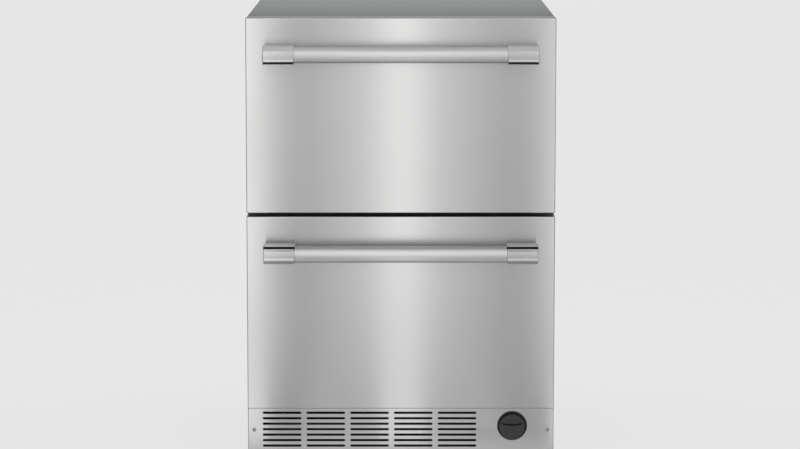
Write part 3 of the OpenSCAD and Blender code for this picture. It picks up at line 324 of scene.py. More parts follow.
def along_x(loop: np.ndarray, low: float, high: float) -> Surface:
    """A closed bar along X: a loop of Y and Z, drawn in a little towards its middle at both ends.

    Args:
        loop: An array of points × 2, Y and Z.
        low: The lower end along X.
        high: The upper end along X.

    Returns:
        The closed surface.
    """
    tip = 0.4 * MM
    drawn_share = 0.96
    places = np.array([low, low + tip, high - tip, high])
    shares = np.array([drawn_share, 1.0, 1.0, drawn_share])
    middle = loop.mean(axis=0)
    loops = middle + shares[:, None, None] * (loop - middle)[None]
    across = np.broadcast_to(places[:, None, None], (*loops.shape[:2], 1))
    return lattice(np.concatenate([across, loops], axis=2), cap_first=True, cap_last=True)


def pan_head(origin: Sequence[float], radius: float, height: float, sign: float,
             steps: int = 48) -> Surface:
    """The head of a screw that faces along Y: a dome with a cross recess.

    The dome's height is height · (1 − (r / R)⁴ / 2) over a short straight edge. The recess narrows on its
    way down to a third of the height. The numbers are shares of the radius and of the height.

    Args:
        origin: The middle of the face that the head lies on.
        radius: The radius of the head.
        height: How far the head stands out.
        sign: -1 stands out to the front, 1 to the back.
        steps: The number of pieces in a full turn.

    Returns:
        The closed surface.
    """
    straight = 0.35
    half_width, half_length = 0.12, 0.52
    circle = np.ones(steps)
    shares = np.array([1.0, 1.0, 0.97, 0.9, 0.78, 0.66])
    loops = [polar_loop(circle * radius * share) for share in shares]
    depths = [0.0, straight * height]
    depths += [height * (0.5 + 0.5 * (1 - share ** 4)) for share in shares[2:]]
    cross = cross_radius(half_width * radius, half_length * radius, steps)
    for narrowed, share in ((1.0, 0.98), (0.92, 0.45), (0.46, 0.33)):
        loops.append(polar_loop(cross * narrowed))
        depths.append(height * share)
    return facing_y(loops, depths, origin, sign)


def build_object(name: str, surfaces: Iterable[Surface], finish: "Finish",
                 sharp_angle: float) -> bpy.types.Object:
    """Puts surfaces into one mesh object at the origin, closes their seams and turns the faces outwards.

    Args:
        name: The name of the object.
        surfaces: Closed surfaces, in metres and in place.
        finish: The finish of the whole object.
        sharp_angle: Edges that bend more than this, in degrees, are shaded as edges.

    Returns:
        The object.
    """
    parts = list(surfaces)
    starts = np.cumsum([0] + [len(part.points) for part in parts[:-1]])
    faces: list[list[int]] = []
    for start, part in zip(starts, parts):
        faces.extend((part.quads + start).tolist())
        faces.extend((cap + start).tolist() for cap in part.caps)
    mesh = bpy.data.meshes.new(name)
    mesh.from_pydata(np.concatenate([part.points for part in parts]), [], faces)
    work = bmesh.new()
    work.from_mesh(mesh)
    bmesh.ops.remove_doubles(work, verts=work.verts, dist=MERGE_DISTANCE)
    bmesh.ops.recalc_face_normals(work, faces=work.faces)
    work.to_mesh(mesh)
    work.free()
    mesh.polygons.foreach_set("use_smooth", np.ones(len(mesh.polygons), bool))
    mesh.set_sharp_from_angle(angle=math.radians(sharp_angle))
    mesh.materials.append(finish.material())
    item = bpy.data.objects.new(name, mesh)
    bpy.context.scene.collection.objects.link(item)
    return item


@dataclass(frozen=True)
class Span:
    """The box of a node at rest, as two arrays."""

    low: np.ndarray
    high: np.ndarray

    @classmethod
    def of(cls, node: str) -> "Span":
        """The box of the named node."""
        low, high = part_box(node)
        return cls(np.array(low), np.array(high))

    @property
    def middle(self) -> np.ndarray:
        """The middle of the box."""
        return (self.low + self.high) / 2

    @property
    def size(self) -> np.ndarray:
        """The lengths of the box's sides."""
        return self.high - self.low


# ---------- finishes ----------


class NodeBoard:
    """A node tree, with short methods that add and join its nodes."""

    def __init__(self, tree: bpy.types.NodeTree) -> None:
        """Keeps the tree."""
        self.tree = tree

    def add(self, kind: str, **settings: object) -> bpy.types.Node:
        """Adds a node.

        Args:
            kind: Blender's name for this kind of node.
            **settings: The properties to set on it.

        Returns:
            The node.
        """
        node = self.tree.nodes.new(kind)
        for key, value in settings.items():
            setattr(node, key, value)
        return node

    def link(self, source: bpy.types.NodeSocket, target: bpy.types.NodeSocket) -> None:
        """Joins an output to an input."""
        self.tree.links.new(source, target)

    def spread(self, value: bpy.types.NodeSocket, low: float, high: float,
               start: float = 0.25, end: float = 0.75) -> bpy.types.NodeSocket:
        """Carries a stretch of a value over to another one; what lies outside it stops at its ends.

        Args:
            value: The socket with the value.
            low: The result at the start of the stretch.
            high: The result at its end.
            start: Where the stretch starts.
            end: Where it ends.

        Returns:
            The socket with the result.
        """
        node = self.add("ShaderNodeMapRange")
        self.link(value, node.inputs["Value"])
        for name, number in (("From Min", start), ("From Max", end), ("To Min", low), ("To Max", high)):
            node.inputs[name].default_value = number
        return node.outputs["Result"]


class Bench(NodeBoard):
    """The node tree of one material."""

    def __init__(self, name: str) -> None:
        """Starts a material that holds a Principled shader and its object coordinates.

        Args:
            name: The name of the material.
        """
        self.result = bpy.data.materials.new(name)
        self.result.use_nodes = True
        super().__init__(self.result.node_tree)
        self.tree.nodes.clear()
        output = self.add("ShaderNodeOutputMaterial")
        self.shader = self.add("ShaderNodeBsdfPrincipled")
        self.link(self.shader.outputs["BSDF"], output.inputs["Surface"])
        self.place = self.add("ShaderNodeTexCoord").outputs["Object"]

    def shade(self, **values: object) -> None:
        """Sets the shader's own sockets.

        Args:
            **values: A number, a colour or an output for each socket; an underscore in a name stands for
                a space.
        """
        for key, value in values.items():
            name = key.replace("_", " ")
            if isinstance(value, bpy.types.NodeSocket):
                self.link(value, self.shader.inputs[name])
            elif isinstance(value, tuple) and len(value) == 3:
                self.shader.inputs[name].default_value = (*value, 1.0)
            else:
                self.shader.inputs[name].default_value = value

    def stretched(self, scale: Sequence[float]) -> bpy.types.NodeSocket:
        """The object coordinates, multiplied by one number for each axis.

        Args:
            scale: The three numbers.

        Returns:
            The socket with the coordinates.
        """
        node = self.add("ShaderNodeMapping")
        self.link(self.place, node.inputs["Vector"])
        node.inputs["Scale"].default_value = tuple(scale)
        return node.outputs["Vector"]

    def noise(self, scale: float, detail: float = 2.0, rough: float = 0.5,
              place: bpy.types.NodeSocket | None = None) -> bpy.types.NodeSocket:
        """Cloudy noise from 0 to 1.

        Args:
            scale: The number of waves in a metre.
            detail: How many finer layers are added.
            rough: How strong the finer layers are.
            place: Coordinates other than the object's own.

        Returns:
            The socket with the noise.
        """
        node = self.add("ShaderNodeTexNoise")
        self.link(place or self.place, node.inputs["Vector"])
        node.inputs["Scale"].default_value = scale
        node.inputs["Detail"].default_value = detail
        node.inputs["Roughness"].default_value = rough
        return node.outputs["Fac"]

    def cells(self, scale: float, output: str = "Distance") -> bpy.types.NodeSocket:
        """A cell pattern.

        Args:
            scale: The number of cells in a metre.
            output: "Distance" from a cell's middle, or the cell's own "Color".

        Returns:
            The socket with the pattern.
        """
        node = self.add("ShaderNodeTexVoronoi")
        self.link(self.place, node.inputs["Vector"])
        node.inputs["Scale"].default_value = scale
        return node.outputs[output]

    def mixed(self, factor: bpy.types.NodeSocket, first: Colour, second: Colour) -> bpy.types.NodeSocket:
        """A colour between two colours. The Mix node's colours are its inputs 6 and 7 and its output 2.

        Args:
            factor: The share of the second colour.
            first: The first colour.
            second: The second colour.

        Returns:
            The socket with the colour.
        """
        node = self.add("ShaderNodeMix", data_type="RGBA")
        self.link(factor, node.inputs[0])
        node.inputs[6].default_value = (*first, 1.0)
        node.inputs[7].default_value = (*second, 1.0)
        return node.outputs[2]

    def tinted(self, factor: bpy.types.NodeSocket, colour: Colour, change: float) -> bpy.types.NodeSocket:
        """A colour that gets darker and lighter.

        Args:
            factor: 0 is darkest and 1 lightest.
            colour: The colour in the middle.
            change: The share of itself by which it gets darker and lighter.

        Returns:
            The socket with the colour.
        """
        darker = tuple(max(c * (1 - change), 0.0) for c in colour)
        lighter = tuple(min(c * (1 + change), 1.0) for c in colour)
        return self.mixed(factor, darker, lighter)

    def bump(self, height: bpy.types.NodeSocket, depth: float, strength: float = 1.0) -> None:
        """Raises the surface by a height.

        Args:
            height: The socket with the height, from 0 to 1.
            depth: The greatest height, in metres.
            strength: The share of it that shows.
        """
        node = self.add("ShaderNodeBump")
        self.link(height, node.inputs["Height"])
        node.inputs["Distance"].default_value = depth
        node.inputs["Strength"].default_value = strength
        self.link(node.outputs["Normal"], self.shader.inputs["Normal"])


@dataclass(frozen=True)
class Finish:
    """A finish by name. A finish that is asked for twice is built once."""

    name: str

    def material(self) -> bpy.types.Material:
        """The material, built at the first call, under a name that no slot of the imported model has."""
        title = f"{self.name}_finish"
        return bpy.data.materials.get(title) or self.build(Bench(title))

    def build(self, bench: Bench) -> bpy.types.Material:
        """Builds the node tree. Each kind of finish has its own."""
        raise NotImplementedError


@dataclass(frozen=True)
class BrushedSteel(Finish):
    """Stainless sheet or tube with fine brush lines along X, which spread reflections across them.

    Attributes:
        colour: The colour of the metal.
        roughness: The dullness across the whole.
        anisotropy: How much further a reflection is spread across the lines than along them.
        line_waves: The number of lines in a metre.
        grain_waves: How often a line changes in a metre of its length.
        cloud_waves: How often the gloss changes in a metre.
        line_depth: The depth of the lines.
        shade_change: The share by which a line gets darker or lighter.
        gloss_change: How much the roughness goes up and down.
    """

    colour: Colour = (0.442, 0.442, 0.438)
    roughness: float = 0.23
    anisotropy: float = 0.73
    line_waves: float = 2600.0
    grain_waves: float = 7.0
    cloud_waves: float = 3.0
    line_depth: float = 0.0015 * MM
    shade_change: float = 0.035
    gloss_change: float = 0.012

    def build(self, bench: Bench) -> bpy.types.Material:
        """Brush lines are noise stretched along X; they vary colour and height, and clouds the gloss.

        Args:
            bench: The node tree to fill.

        Returns:
            The material.
        """
        scale = (self.grain_waves, self.line_waves, self.line_waves)
        lines = bench.noise(1.0, detail=3.0, place=bench.stretched(scale))
        clouds = bench.noise(self.cloud_waves, detail=1.0)
        low, high = self.roughness - self.gloss_change, self.roughness + self.gloss_change
        quarter_turn = 0.25
        bench.shade(
            Base_Color=bench.tinted(bench.spread(lines, 0.0, 1.0), self.colour, self.shade_change),
            Metallic=1.0,
            Roughness=bench.spread(clouds, low, high),
            Anisotropic=self.anisotropy,
            Anisotropic_Rotation=quarter_turn,
        )
        direction = bench.add("ShaderNodeCombineXYZ")
        direction.inputs["X"].default_value = 1.0
        bench.link(direction.outputs["Vector"], bench.shader.inputs["Tangent"])
        bench.bump(lines, self.line_depth)
        return bench.result


@dataclass(frozen=True)
class PaintedSheet(Finish):
    """Powder-coated sheet steel with a fine orange peel.

    Attributes:
        colour: The colour of the paint.
        roughness: The dullness of the paint.
        specular: How strongly it mirrors.
        peel_waves: The number of bumps of the peel in a metre.
        peel_depth: The height of the bumps.
        shade_change: The share by which the paint gets darker or lighter.
        gloss_change: How much the roughness goes up and down.
    """

    colour: Colour = (0.3, 0.31, 0.31)
    roughness: float = 0.5
    specular: float = 0.35
    peel_waves: float = 700.0
    peel_depth: float = 0.03 * MM
    shade_change: float = 0.06
    gloss_change: float = 0.05

    def build(self, bench: Bench) -> bpy.types.Material:
        """Soft noise of about a millimetre makes the peel, wide noise the change in gloss and shade.

        Args:
            bench: The node tree to fill.

        Returns:
            The material.
        """
        peel = bench.noise(self.peel_waves, detail=2.0)
        clouds = bench.noise(5.0, detail=3.0)
        low, high = self.roughness - self.gloss_change, self.roughness + self.gloss_change
        bench.shade(
            Base_Color=bench.tinted(clouds, self.colour, self.shade_change),
            Roughness=bench.spread(clouds, low, high),
            Specular_IOR_Level=self.specular,
        )
        bench.bump(peel, self.peel_depth, 0.5)
        return bench.result


@dataclass(frozen=True)
class ZincSheet(Finish):
    """Galvanised sheet: flat crystals that differ in shade and gloss.

    Attributes:
        colour: The colour of the zinc.
        crystals: The number of crystals in a metre.
        shade_change: The share by which a crystal gets darker or lighter.
        gloss: The roughness of the brightest and of the dullest crystal.
        wave_depth: The height of the sheet's soft waves.
    """

    colour: Colour = (0.56, 0.58, 0.59)
    crystals: float = 170.0
    shade_change: float = 0.06
    gloss: tuple[float, float] = (0.38, 0.48)
    wave_depth: float = 0.15 * MM

    def build(self, bench: Bench) -> bpy.types.Material:
        """A cell colour gives each crystal its shade and its gloss, and wide noise waves the sheet.

        Args:
            bench: The node tree to fill.

        Returns:
            The material.
        """
        crystal = bench.cells(self.crystals, "Color")
        single = bench.add("ShaderNodeSeparateColor")
        bench.link(crystal, single.inputs["Color"])
        shade = single.outputs["Red"]
        bench.shade(
            Base_Color=bench.tinted(shade, self.colour, self.shade_change),
            Metallic=1.0,
            Roughness=bench.spread(shade, *self.gloss, 0.0, 1.0),
        )
        bench.bump(bench.noise(40.0, detail=3.0), self.wave_depth, 0.3)
        return bench.result


@dataclass(frozen=True)
class PolishedMetal(Finish):
    """A smooth metal part, from bright plating to a dull casting.

    Attributes:
        colour: The colour of the metal.
        roughness: The dullness of the polish.
        grit: The number of grains in a metre.
        grit_depth: The height of the grains.
        change: The share by which the metal gets darker or lighter.
    """

    colour: Colour = (0.66, 0.67, 0.68)
    roughness: float = 0.16
    grit: float = 900.0
    grit_depth: float = 0.004 * MM
    change: float = 0.04

    def build(self, bench: Bench) -> bpy.types.Material:
        """Fine noise is the polish, wide noise the handling marks that change the gloss.

        Args:
            bench: The node tree to fill.

        Returns:
            The material.
        """
        marks = bench.noise(24.0, detail=4.0, rough=0.6)
        bench.shade(
            Base_Color=bench.tinted(marks, self.colour, self.change),
            Metallic=1.0,
            Roughness=bench.spread(marks, self.roughness * 0.85, self.roughness * 1.2),
        )
        bench.bump(bench.noise(self.grit, detail=2.0), self.grit_depth, 0.5)
        return bench.result


@dataclass(frozen=True)
class Moulding(Finish):
    """A moulded plastic with a fine spark-eroded texture.

    Attributes:
        colour: The colour of the plastic.
        roughness: The dullness of the plastic.
        texture: The number of grains in a metre.
        texture_depth: The height of the grains.
        change: The share by which the plastic gets darker or lighter.
        gloss_change: How much the roughness goes up and down.
        depth_of_colour: The share of the light that goes into the plastic; 0 is none.
    """

    colour: Colour = (0.03, 0.03, 0.032)
    roughness: float = 0.42
    texture: float = 1500.0
    texture_depth: float = 0.02 * MM
    change: float = 0.05
    gloss_change: float = 0.04
    depth_of_colour: float = 0.0

    def build(self, bench: Bench) -> bpy.types.Material:
        """Fine noise is the texture of the mould, wide noise the flow of the plastic.

        Args:
            bench: The node tree to fill.

        Returns:
            The material.
        """
        flow = bench.noise(12.0, detail=3.0)
        low, high = self.roughness - self.gloss_change, self.roughness + self.gloss_change
        bench.shade(
            Base_Color=bench.tinted(flow, self.colour, self.change),
            Roughness=bench.spread(flow, low, high),
        )
        if self.depth_of_colour > 0:
            bench.shade(Subsurface_Weight=self.depth_of_colour, Subsurface_Scale=2 * MM)
        bench.bump(bench.noise(self.texture, detail=1.0), self.texture_depth, 0.5)
        return bench.result


@dataclass(frozen=True)
class SoftSeal(Finish):
    """Soft vinyl or rubber with a dry, slightly dusty skin.

    Attributes:
        colour: The colour of the clean skin.
        roughness: The dullness of the skin.
        dust: The share by which dust lightens the colour and its lack darkens it.
        sheen: How strongly the dust glows at the edges.
        grain_depth: The height of the grain.
    """

    colour: Colour = (0.1, 0.105, 0.11)
    roughness: float = 0.62
    dust: float = 0.18
    sheen: float = 0.15
    grain_depth: float = 0.03 * MM

    def build(self, bench: Bench) -> bpy.types.Material:
        """Dust is noise that lightens the colour; the skin has a fine grain.

        Args:
            bench: The node tree to fill.

        Returns:
            The material.
        """
        dust = bench.noise(60.0, detail=5.0, rough=0.65)
        bench.shade(
            Base_Color=bench.tinted(dust, self.colour, self.dust),
            Roughness=bench.spread(dust, self.roughness - 0.08, self.roughness + 0.1),
            Sheen_Weight=self.sheen,
        )
        bench.bump(bench.noise(1800.0, detail=2.0), self.grain_depth, 0.6)
        return bench.result


@dataclass(frozen=True)
class DrawnCopper(Finish):
    """Drawn copper tube, bright in places and browned in others.

    Attributes:
        bright: The colour of the bright places.
        brown: The colour of the browned places.
        gloss: The roughness of the bright and of the brownest places.
    """

    bright: Colour = (0.78, 0.42, 0.27)
    brown: Colour = (0.36, 0.17, 0.1)
    gloss: tuple[float, float] = (0.22, 0.5)

    def build(self, bench: Bench) -> bpy.types.Material:
        """Noise mixes bright and browned copper, and the brown is duller.

        Args:
            bench: The node tree to fill.

        Returns:
            The material.
        """
        brownest = 0.6
        age = bench.spread(bench.noise(35.0, detail=5.0, rough=0.6), 0.0, brownest, 0.4, 0.75)
        bench.shade(
            Base_Color=bench.mixed(age, self.bright, self.brown),
            Metallic=1.0,
            Roughness=bench.spread(age, *self.gloss, 0.0, brownest),
        )
        bench.bump(bench.noise(600.0), 0.02 * MM, 0.4)
        return bench.result


@dataclass(frozen=True)
class RigidFoam(Finish):
    """Poured foam with closed cells and a yellowed skin.

    Attributes:
        colour: The colour of the foam.
        yellowing: The share by which it gets darker or lighter.
        cells: The number of cells in a metre.
        cell_depth: The depth of the dents.
    """

    colour: Colour = (0.78, 0.66, 0.36)
    yellowing: float = 0.14
    cells: float = 450.0
    cell_depth: float = 0.5 * MM

    def build(self, bench: Bench) -> bpy.types.Material:
        """Small cells dent the surface, and noise yellows it unevenly.

        Args:
            bench: The node tree to fill.

        Returns:
            The material.
        """
        bench.shade(
            Base_Color=bench.tinted(bench.noise(18.0, detail=4.0), self.colour, self.yellowing),
            Roughness=0.85,
            Subsurface_Weight=0.1,
        )
        bench.bump(bench.cells(self.cells), self.cell_depth, 0.7)
        return bench.result


@dataclass(frozen=True)
class FrostedLens(Finish):
    """A frosted clear lens in front of a lamp.

    Attributes:
        colour: The tint of the lens.
        clearness: The share of the light that goes through.
        frost_depth: The height of the frost's grains.
    """

    colour: Colour = (0.88, 0.92, 0.95)
    clearness: float = 0.55
    frost_depth: float = 0.02 * MM

    def build(self, bench: Bench) -> bpy.types.Material:
        """Part of the light goes through; fine noise frosts the surface.

        Args:
            bench: The node tree to fill.

        Returns:
            The material.
        """
        bench.shade(
            Base_Color=bench.tinted(bench.noise(90.0), self.colour, 0.03),
            Roughness=0.38,
            Transmission_Weight=self.clearness,
            IOR=1.49,
        )
        bench.bump(bench.noise(2200.0), self.frost_depth, 0.7)
        return bench.result


PANEL_STEEL = BrushedSteel("panel_steel")
BAR_STEEL = BrushedSteel("bar_steel", colour=(0.48, 0.48, 0.477), roughness=0.34, anisotropy=0.6)
BRACKET_METAL = BrushedSteel("bracket_metal", colour=(0.46, 0.46, 0.457), roughness=0.27, anisotropy=0.8)
# Painted shade: near-black paint for the strips in the bracket grooves, standing for the grooves' deep shade.
GROOVE_SHADE = PaintedSheet("groove_painted_shade", colour=(0.012, 0.012, 0.012), roughness=0.5, specular=0.2)
BRIGHT_ZINC = PolishedMetal("bright_zinc", colour=(0.6, 0.61, 0.62), roughness=0.28)
GREY_PAINT = PaintedSheet("grey_paint", colour=(0.137, 0.144, 0.139), roughness=0.6, specular=0.1)
# Dark paint: the compressor's own colour, and painted shade on the baffle, base pan, mullion and electrical
# box that show through the slots and the gap between the fronts.
DARK_PAINT_AND_SHADE = PaintedSheet("dark_paint", colour=(0.022, 0.022, 0.024), roughness=0.45)
GALVANISED = ZincSheet("galvanised")
LINER_WHITE = Moulding("liner_white", colour=(0.78, 0.79, 0.8), roughness=0.3, texture_depth=0.008 * MM,
                       change=0.015)
BIN_PLASTIC = Moulding("bin_plastic", colour=(0.72, 0.75, 0.76), roughness=0.36, change=0.02,
                       depth_of_colour=0.08)
TUB_PLASTIC = Moulding("tub_plastic", colour=(0.5, 0.61, 0.69), roughness=0.25, change=0.03,
                       depth_of_colour=0.2)
BLACK_PLASTIC = Moulding("black_plastic", colour=(0.03, 0.03, 0.031))
CAP_PLASTIC = Moulding("cap_plastic", colour=(0.016, 0.016, 0.016), roughness=0.42)
BLADE_PLASTIC = Moulding("blade_plastic", colour=(0.05, 0.05, 0.055), roughness=0.5)
VALVE_PLASTIC = Moulding("valve_plastic", colour=(0.62, 0.63, 0.6), roughness=0.45)
FILTER_PLASTIC = Moulding("filter_plastic", colour=(0.7, 0.71, 0.72), roughness=0.4)
GASKET_VINYL = SoftSeal("gasket_vinyl")
BLACK_RUBBER = SoftSeal("black_rubber", colour=(0.022, 0.022, 0.022), roughness=0.7)
SCREW_STEEL = PolishedMetal("screw_steel", colour=(0.3, 0.3, 0.3), roughness=0.3)
COPPER = DrawnCopper("drawn_copper")
FOAM = RigidFoam("rigid_foam")
THIN_FINS = PolishedMetal("thin_fins", colour=(0.62, 0.64, 0.66), roughness=0.36, change=0.08)
CAST_ALUMINIUM = PolishedMetal("cast_aluminium", colour=(0.44, 0.45, 0.46), roughness=0.5, grit=1400.0,
                               grit_depth=0.06 * MM, change=0.1)
LENS = FrostedLens("frosted_lens")


def dress(finish: Finish, *nodes: str) -> None:
    """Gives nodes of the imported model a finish.

    Args:
        finish: The finish.
        *nodes: The nodes' names.
    """
    for name in nodes:
        materials = FRAME["nodes"][name].data.materials
        materials.clear()
        materials.append(finish.material())
        LOG.info("dressed %s in %s", name, finish.name)


def add_piece(name: str, surfaces: Iterable[Surface], finish: Finish, body: str,
              replaces: Sequence[str] = (), sharp_angle: float = SHARP_ANGLE) -> bpy.types.Object:
    """Makes a piece that rides on a body.

    Args:
        name: The piece's name.
        surfaces: Its closed surfaces.
        finish: Its finish.
        body: The body that it moves with.
        replaces: The nodes that it stands for.
        sharp_angle: Edges that bend more than this, in degrees, are shaded as edges.

    Returns:
        The piece.
    """
    piece = build_object(name, surfaces, finish, sharp_angle)
    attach(piece, body)
    if replaces:
        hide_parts(*replaces)
    LOG.info("made %s: %d faces on %s", name, len(piece.data.polygons), body)
    return piece


# ---------- drawer fronts ----------


def front_ring(low: np.ndarray, high: np.ndarray, inset: float, depth: float, radius: float,
               sink: float = 0.0) -> np.ndarray:
    """One loop of a flat form that faces the front.

    Args:
        low: The lowest corner of the form, three numbers.
        high: The highest corner of the form, three numbers.
        inset: How far the loop stands in from the form's sides.
        depth: The loop's place along Y.
        radius: The corner radius at no inset.
        sink: How much less the loop stands in from the lower side.

    Returns:
        An array of points × 3.
    """
    loop = rectangle_loop(low[[0, 2]] + inset - np.array([0.0, sink]), high[[0, 2]] - inset,
                          max(radius - inset, LEAST_RADIUS))
    return np.stack([loop[:, 0], np.full(len(loop), depth), loop[:, 1]], axis=1)


@dataclass
class BarHandle:
    """A round bar between two brackets, each with a crowned head, a lip and a groove.

    The side view of a bracket is drawn with how far it stands out from the front and the height over
    the bar's axis, in metres. A bracket with turn 1 has its groove below, one with turn -1 above and a
    second, thin lip below.

    Attributes:
        side: The drawer that it belongs to.
        turn: 1 or -1, as above.
        head_back: How far from the front the head begins.
        neck_slope: The length over which the foot widens to the head.
        foot_half: Half the height of the foot.
        head_half: Half the head's height without its shoulders.
        shoulders: How far the head stands over that on the side of the crown and on the groove's side.
        bevel: How far behind the lip the bevel over the crown starts.
        crown: How far the crown's middle lies behind the lip and its ends behind its middle, half its
            height, and the height of its middle.
        short_crown: The share of the crown's upper half that is left above a thin lip.
        crown_steps: The number of pieces in the crown.
        lip: The corners of the lip, each behind its front and over the axis.
        thin_lip: The same for the thin lip.
        groove: The heights of the groove's two walls.
        groove_depth: How far behind the lip the groove's floor lies.
        cheek: How far behind the lip the bracket ends beyond the groove.
        edge: How far the rounding of a corner reaches.
        lip_edge: The same on the lips and in the groove.
        edge_steps: The number of pieces in each rounding.
        end_round: The radius at both ends of a bracket.
        end_flat: A narrow straight part beside that.
        shade_strip_sink: How deep the black strip of painted shade lies in the groove's floor.
        shade_strip_rise: How far it stands over the floor.
        shade_strip_edge: The radius of its edges.
        shade_strip_start: How far it stays behind the bracket's inner end.
        bar_edge: The bevel at both ends of the bar.
        bar_steps: The number of pieces round the bar.
        seat: How far the bar goes into a bracket.
    """

    side: Side
    turn: int
    head_back: float = 26.0 * MM
    neck_slope: float = 4.0 * MM
    foot_half: float = 12.0 * MM
    head_half: float = 16.0 * MM
    shoulders: tuple[float, float] = (1.5 * MM, 3.0 * MM)
    bevel: float = 9.2 * MM
    crown: tuple[float, float, float, float] = (0.7 * MM, 0.7 * MM, 8.1 * MM, -0.4 * MM)
    short_crown: float = 0.5
    crown_steps: int = 6
    lip: tuple[tuple[float, float], ...] = ((0.0, -11.3 * MM), (0.6 * MM, -12.6 * MM))
    thin_lip: tuple[tuple[float, float], ...] = ((0.5 * MM, 10.4 * MM), (0.0, 9.6 * MM), (1.0 * MM, 5.4 * MM))
    groove: tuple[float, float] = (-12.7 * MM, -17.3 * MM)
    groove_depth: float = 7.5 * MM
    cheek: float = 4.6 * MM
    edge: float = 0.9 * MM
    lip_edge: float = 0.35 * MM
    edge_steps: int = 5
    end_round: float = 1.6 * MM
    end_flat: float = 0.5 * MM
    shade_strip_sink: float = 0.6 * MM
    shade_strip_rise: float = 0.3 * MM
    shade_strip_edge: float = 0.25 * MM
    shade_strip_start: float = 0.8 * MM
    bar_edge: float = 0.6 * MM
    bar_steps: int = 96
    seat: float = 14.0 * MM

    def section(self, reach: float) -> np.ndarray:
        """The bracket's side view: shoulder, thin lip, crowned face, lip, groove and foot.

        The crowned face is a parabola: at s from -1 to 1 it lies at place + rise · s² behind the lip and
        half · s + middle over the axis. The corners are rounded, sharper on the lips and in the groove.

        Args:
            reach: How far the lip stands out from the front.

        Returns:
            An array of points × 2.
        """
        top, bottom = self.head_half + self.shoulders[0], -self.head_half - self.shoulders[1]
        neck = self.head_back - self.neck_slope
        behind = np.array([reach, 0.0])
        outward = np.array([-1.0, 1.0])
        shoulder = [[neck, self.foot_half], [self.head_back, top], [reach - self.bevel, top]]
        thin_lip = behind + outward * np.array(self.thin_lip) if self.turn < 0 else np.empty((0, 2))
        place, rise, half, middle = self.crown
        s = np.linspace(self.short_crown if self.turn < 0 else 1, -1, self.crown_steps + 1)
        crowned = np.stack([reach - place - rise * s ** 2, half * s + middle], axis=1)
        lip = behind + outward * np.array(self.lip)
        floor, cheek = reach - self.groove_depth, reach - self.cheek
        groove = [[floor, self.groove[0]], [floor, self.groove[1]], [cheek, self.groove[1]], [cheek, bottom]]
        foot = [[self.head_back, bottom], [neck, -self.foot_half], [0.0, -self.foot_half],
                [0.0, self.foot_half]]
        parts = [(shoulder, self.edge), (thin_lip, self.lip_edge), (crowned, self.edge),
                 (lip, self.lip_edge), (groove, self.lip_edge), (foot, self.edge)]
        corners = np.concatenate([part for part, _ in parts])
        reaches = np.concatenate([np.full(len(part), edge) for part, edge in parts])
        corners[:, 1] *= self.turn
        return softened(corners[:: self.turn], reaches[:: self.turn], self.edge_steps)[::-1]

    def bracket(self, span: Span, axis_z: float) -> Surface:
        """One bracket: the side view carried along X, drawn in by a quarter round at both ends.

        Args:
            span: The box of the bracket on the right side.
            axis_z: The height of the bar's axis.

        Returns:
            The closed surface.
        """
        front = span.high[1]
        loop = self.section(front - span.low[1])
        normals = loop_normals(loop)
        turn = quarter(0, 90, 5)
        along, inward = self.end_round * (1 - np.sin(turn)), self.end_round * (1 - np.cos(turn))
        start = np.stack([span.low[0] + along, inward], axis=1)[::-1]
        end = np.stack([span.high[0] - along, inward], axis=1)
        flat = self.end_round + self.end_flat
        rows = np.concatenate([start, [[span.low[0] + flat, 0.0], [span.high[0] - flat, 0.0]], end])
        drawn = loop[None] - rows[:, 1, None, None] * normals[None]
        out = np.maximum(drawn[..., 0], 0.0)
        points = np.stack([np.broadcast_to(rows[:, :1], out.shape), front - out, axis_z + drawn[..., 1]],
                          axis=-1)
        return lattice(points, cap_first=True, cap_last=True)

    def shade_strip(self, span: Span, axis_z: float) -> Surface:
        """Painted shade: a black strip on the floor of a bracket's groove, standing for the groove's shade; a
        thin bar with round edges, along X.

        Args:
            span: The box of the bracket on the right side.
            axis_z: The height of the bar's axis.

        Returns:
            The closed surface.
        """
        floor = span.low[1] + self.groove_depth
        low, high = sorted(self.turn * height for height in self.groove)
        loop = rectangle_loop(np.array([floor - self.shade_strip_sink, axis_z + low]),
                              np.array([floor + self.shade_strip_rise, axis_z + high]), self.shade_strip_edge, 3)
        return along_x(loop, span.low[0] + self.shade_strip_start, span.high[0] - self.end_round)

    def bar(self, span: Span) -> Surface:
        """The bar: a profile of a place along X and a radius, turned round the bar's axis.

        Args:
            span: The box of the bar.

        Returns:
            The closed surface.
        """
        low, high = span.low[0], span.high[0]
        radius, edge = span.size[2] / 2, self.bar_edge
        turn = np.linspace(0, 2 * np.pi, self.bar_steps, endpoint=False)[None, :]
        rows = np.array([[low, 0.0], [low, radius - edge], [low + edge, radius],
                         [high - edge, radius], [high, radius - edge], [high, 0.0]])
        points = np.stack([
            np.broadcast_to(rows[:, :1], (len(rows), turn.size)),
            span.middle[1] + rows[:, 1:] * np.cos(turn),
            span.middle[2] + rows[:, 1:] * np.sin(turn),
        ], axis=-1)
        return lattice(points)

    def build(self, body: str) -> None:
        """Makes the bar, its brackets and the black strips of painted shade in their grooves.

        Args:
            body: The body that they move with.
        """
        name = self.side.value
        bar = Span.of(f"{name}_handle_bar")
        both = Span.of(f"{name}_handle_brackets")
        right = Span(np.array([bar.high[0] - self.seat, both.low[1], both.low[2]]),
                     np.array([both.high[0], Span.of(f"{name}_skin").low[1], both.high[2]]))
        bracket = self.bracket(right, bar.middle[2])
        shade_strip = self.shade_strip(right, bar.middle[2])
        add_piece(f"{name}_bar", [self.bar(bar)], BAR_STEEL, body, [f"{name}_handle_bar"])
        add_piece(f"{name}_brackets", [bracket, bracket.flipped_x()], BRACKET_METAL, body,
                  [f"{name}_handle_brackets"])
        # The strips in the grooves are painted shade.
        add_piece(f"{name}_bracket_shade_strips", [shade_strip, shade_strip.flipped_x()], GROOVE_SHADE, body)


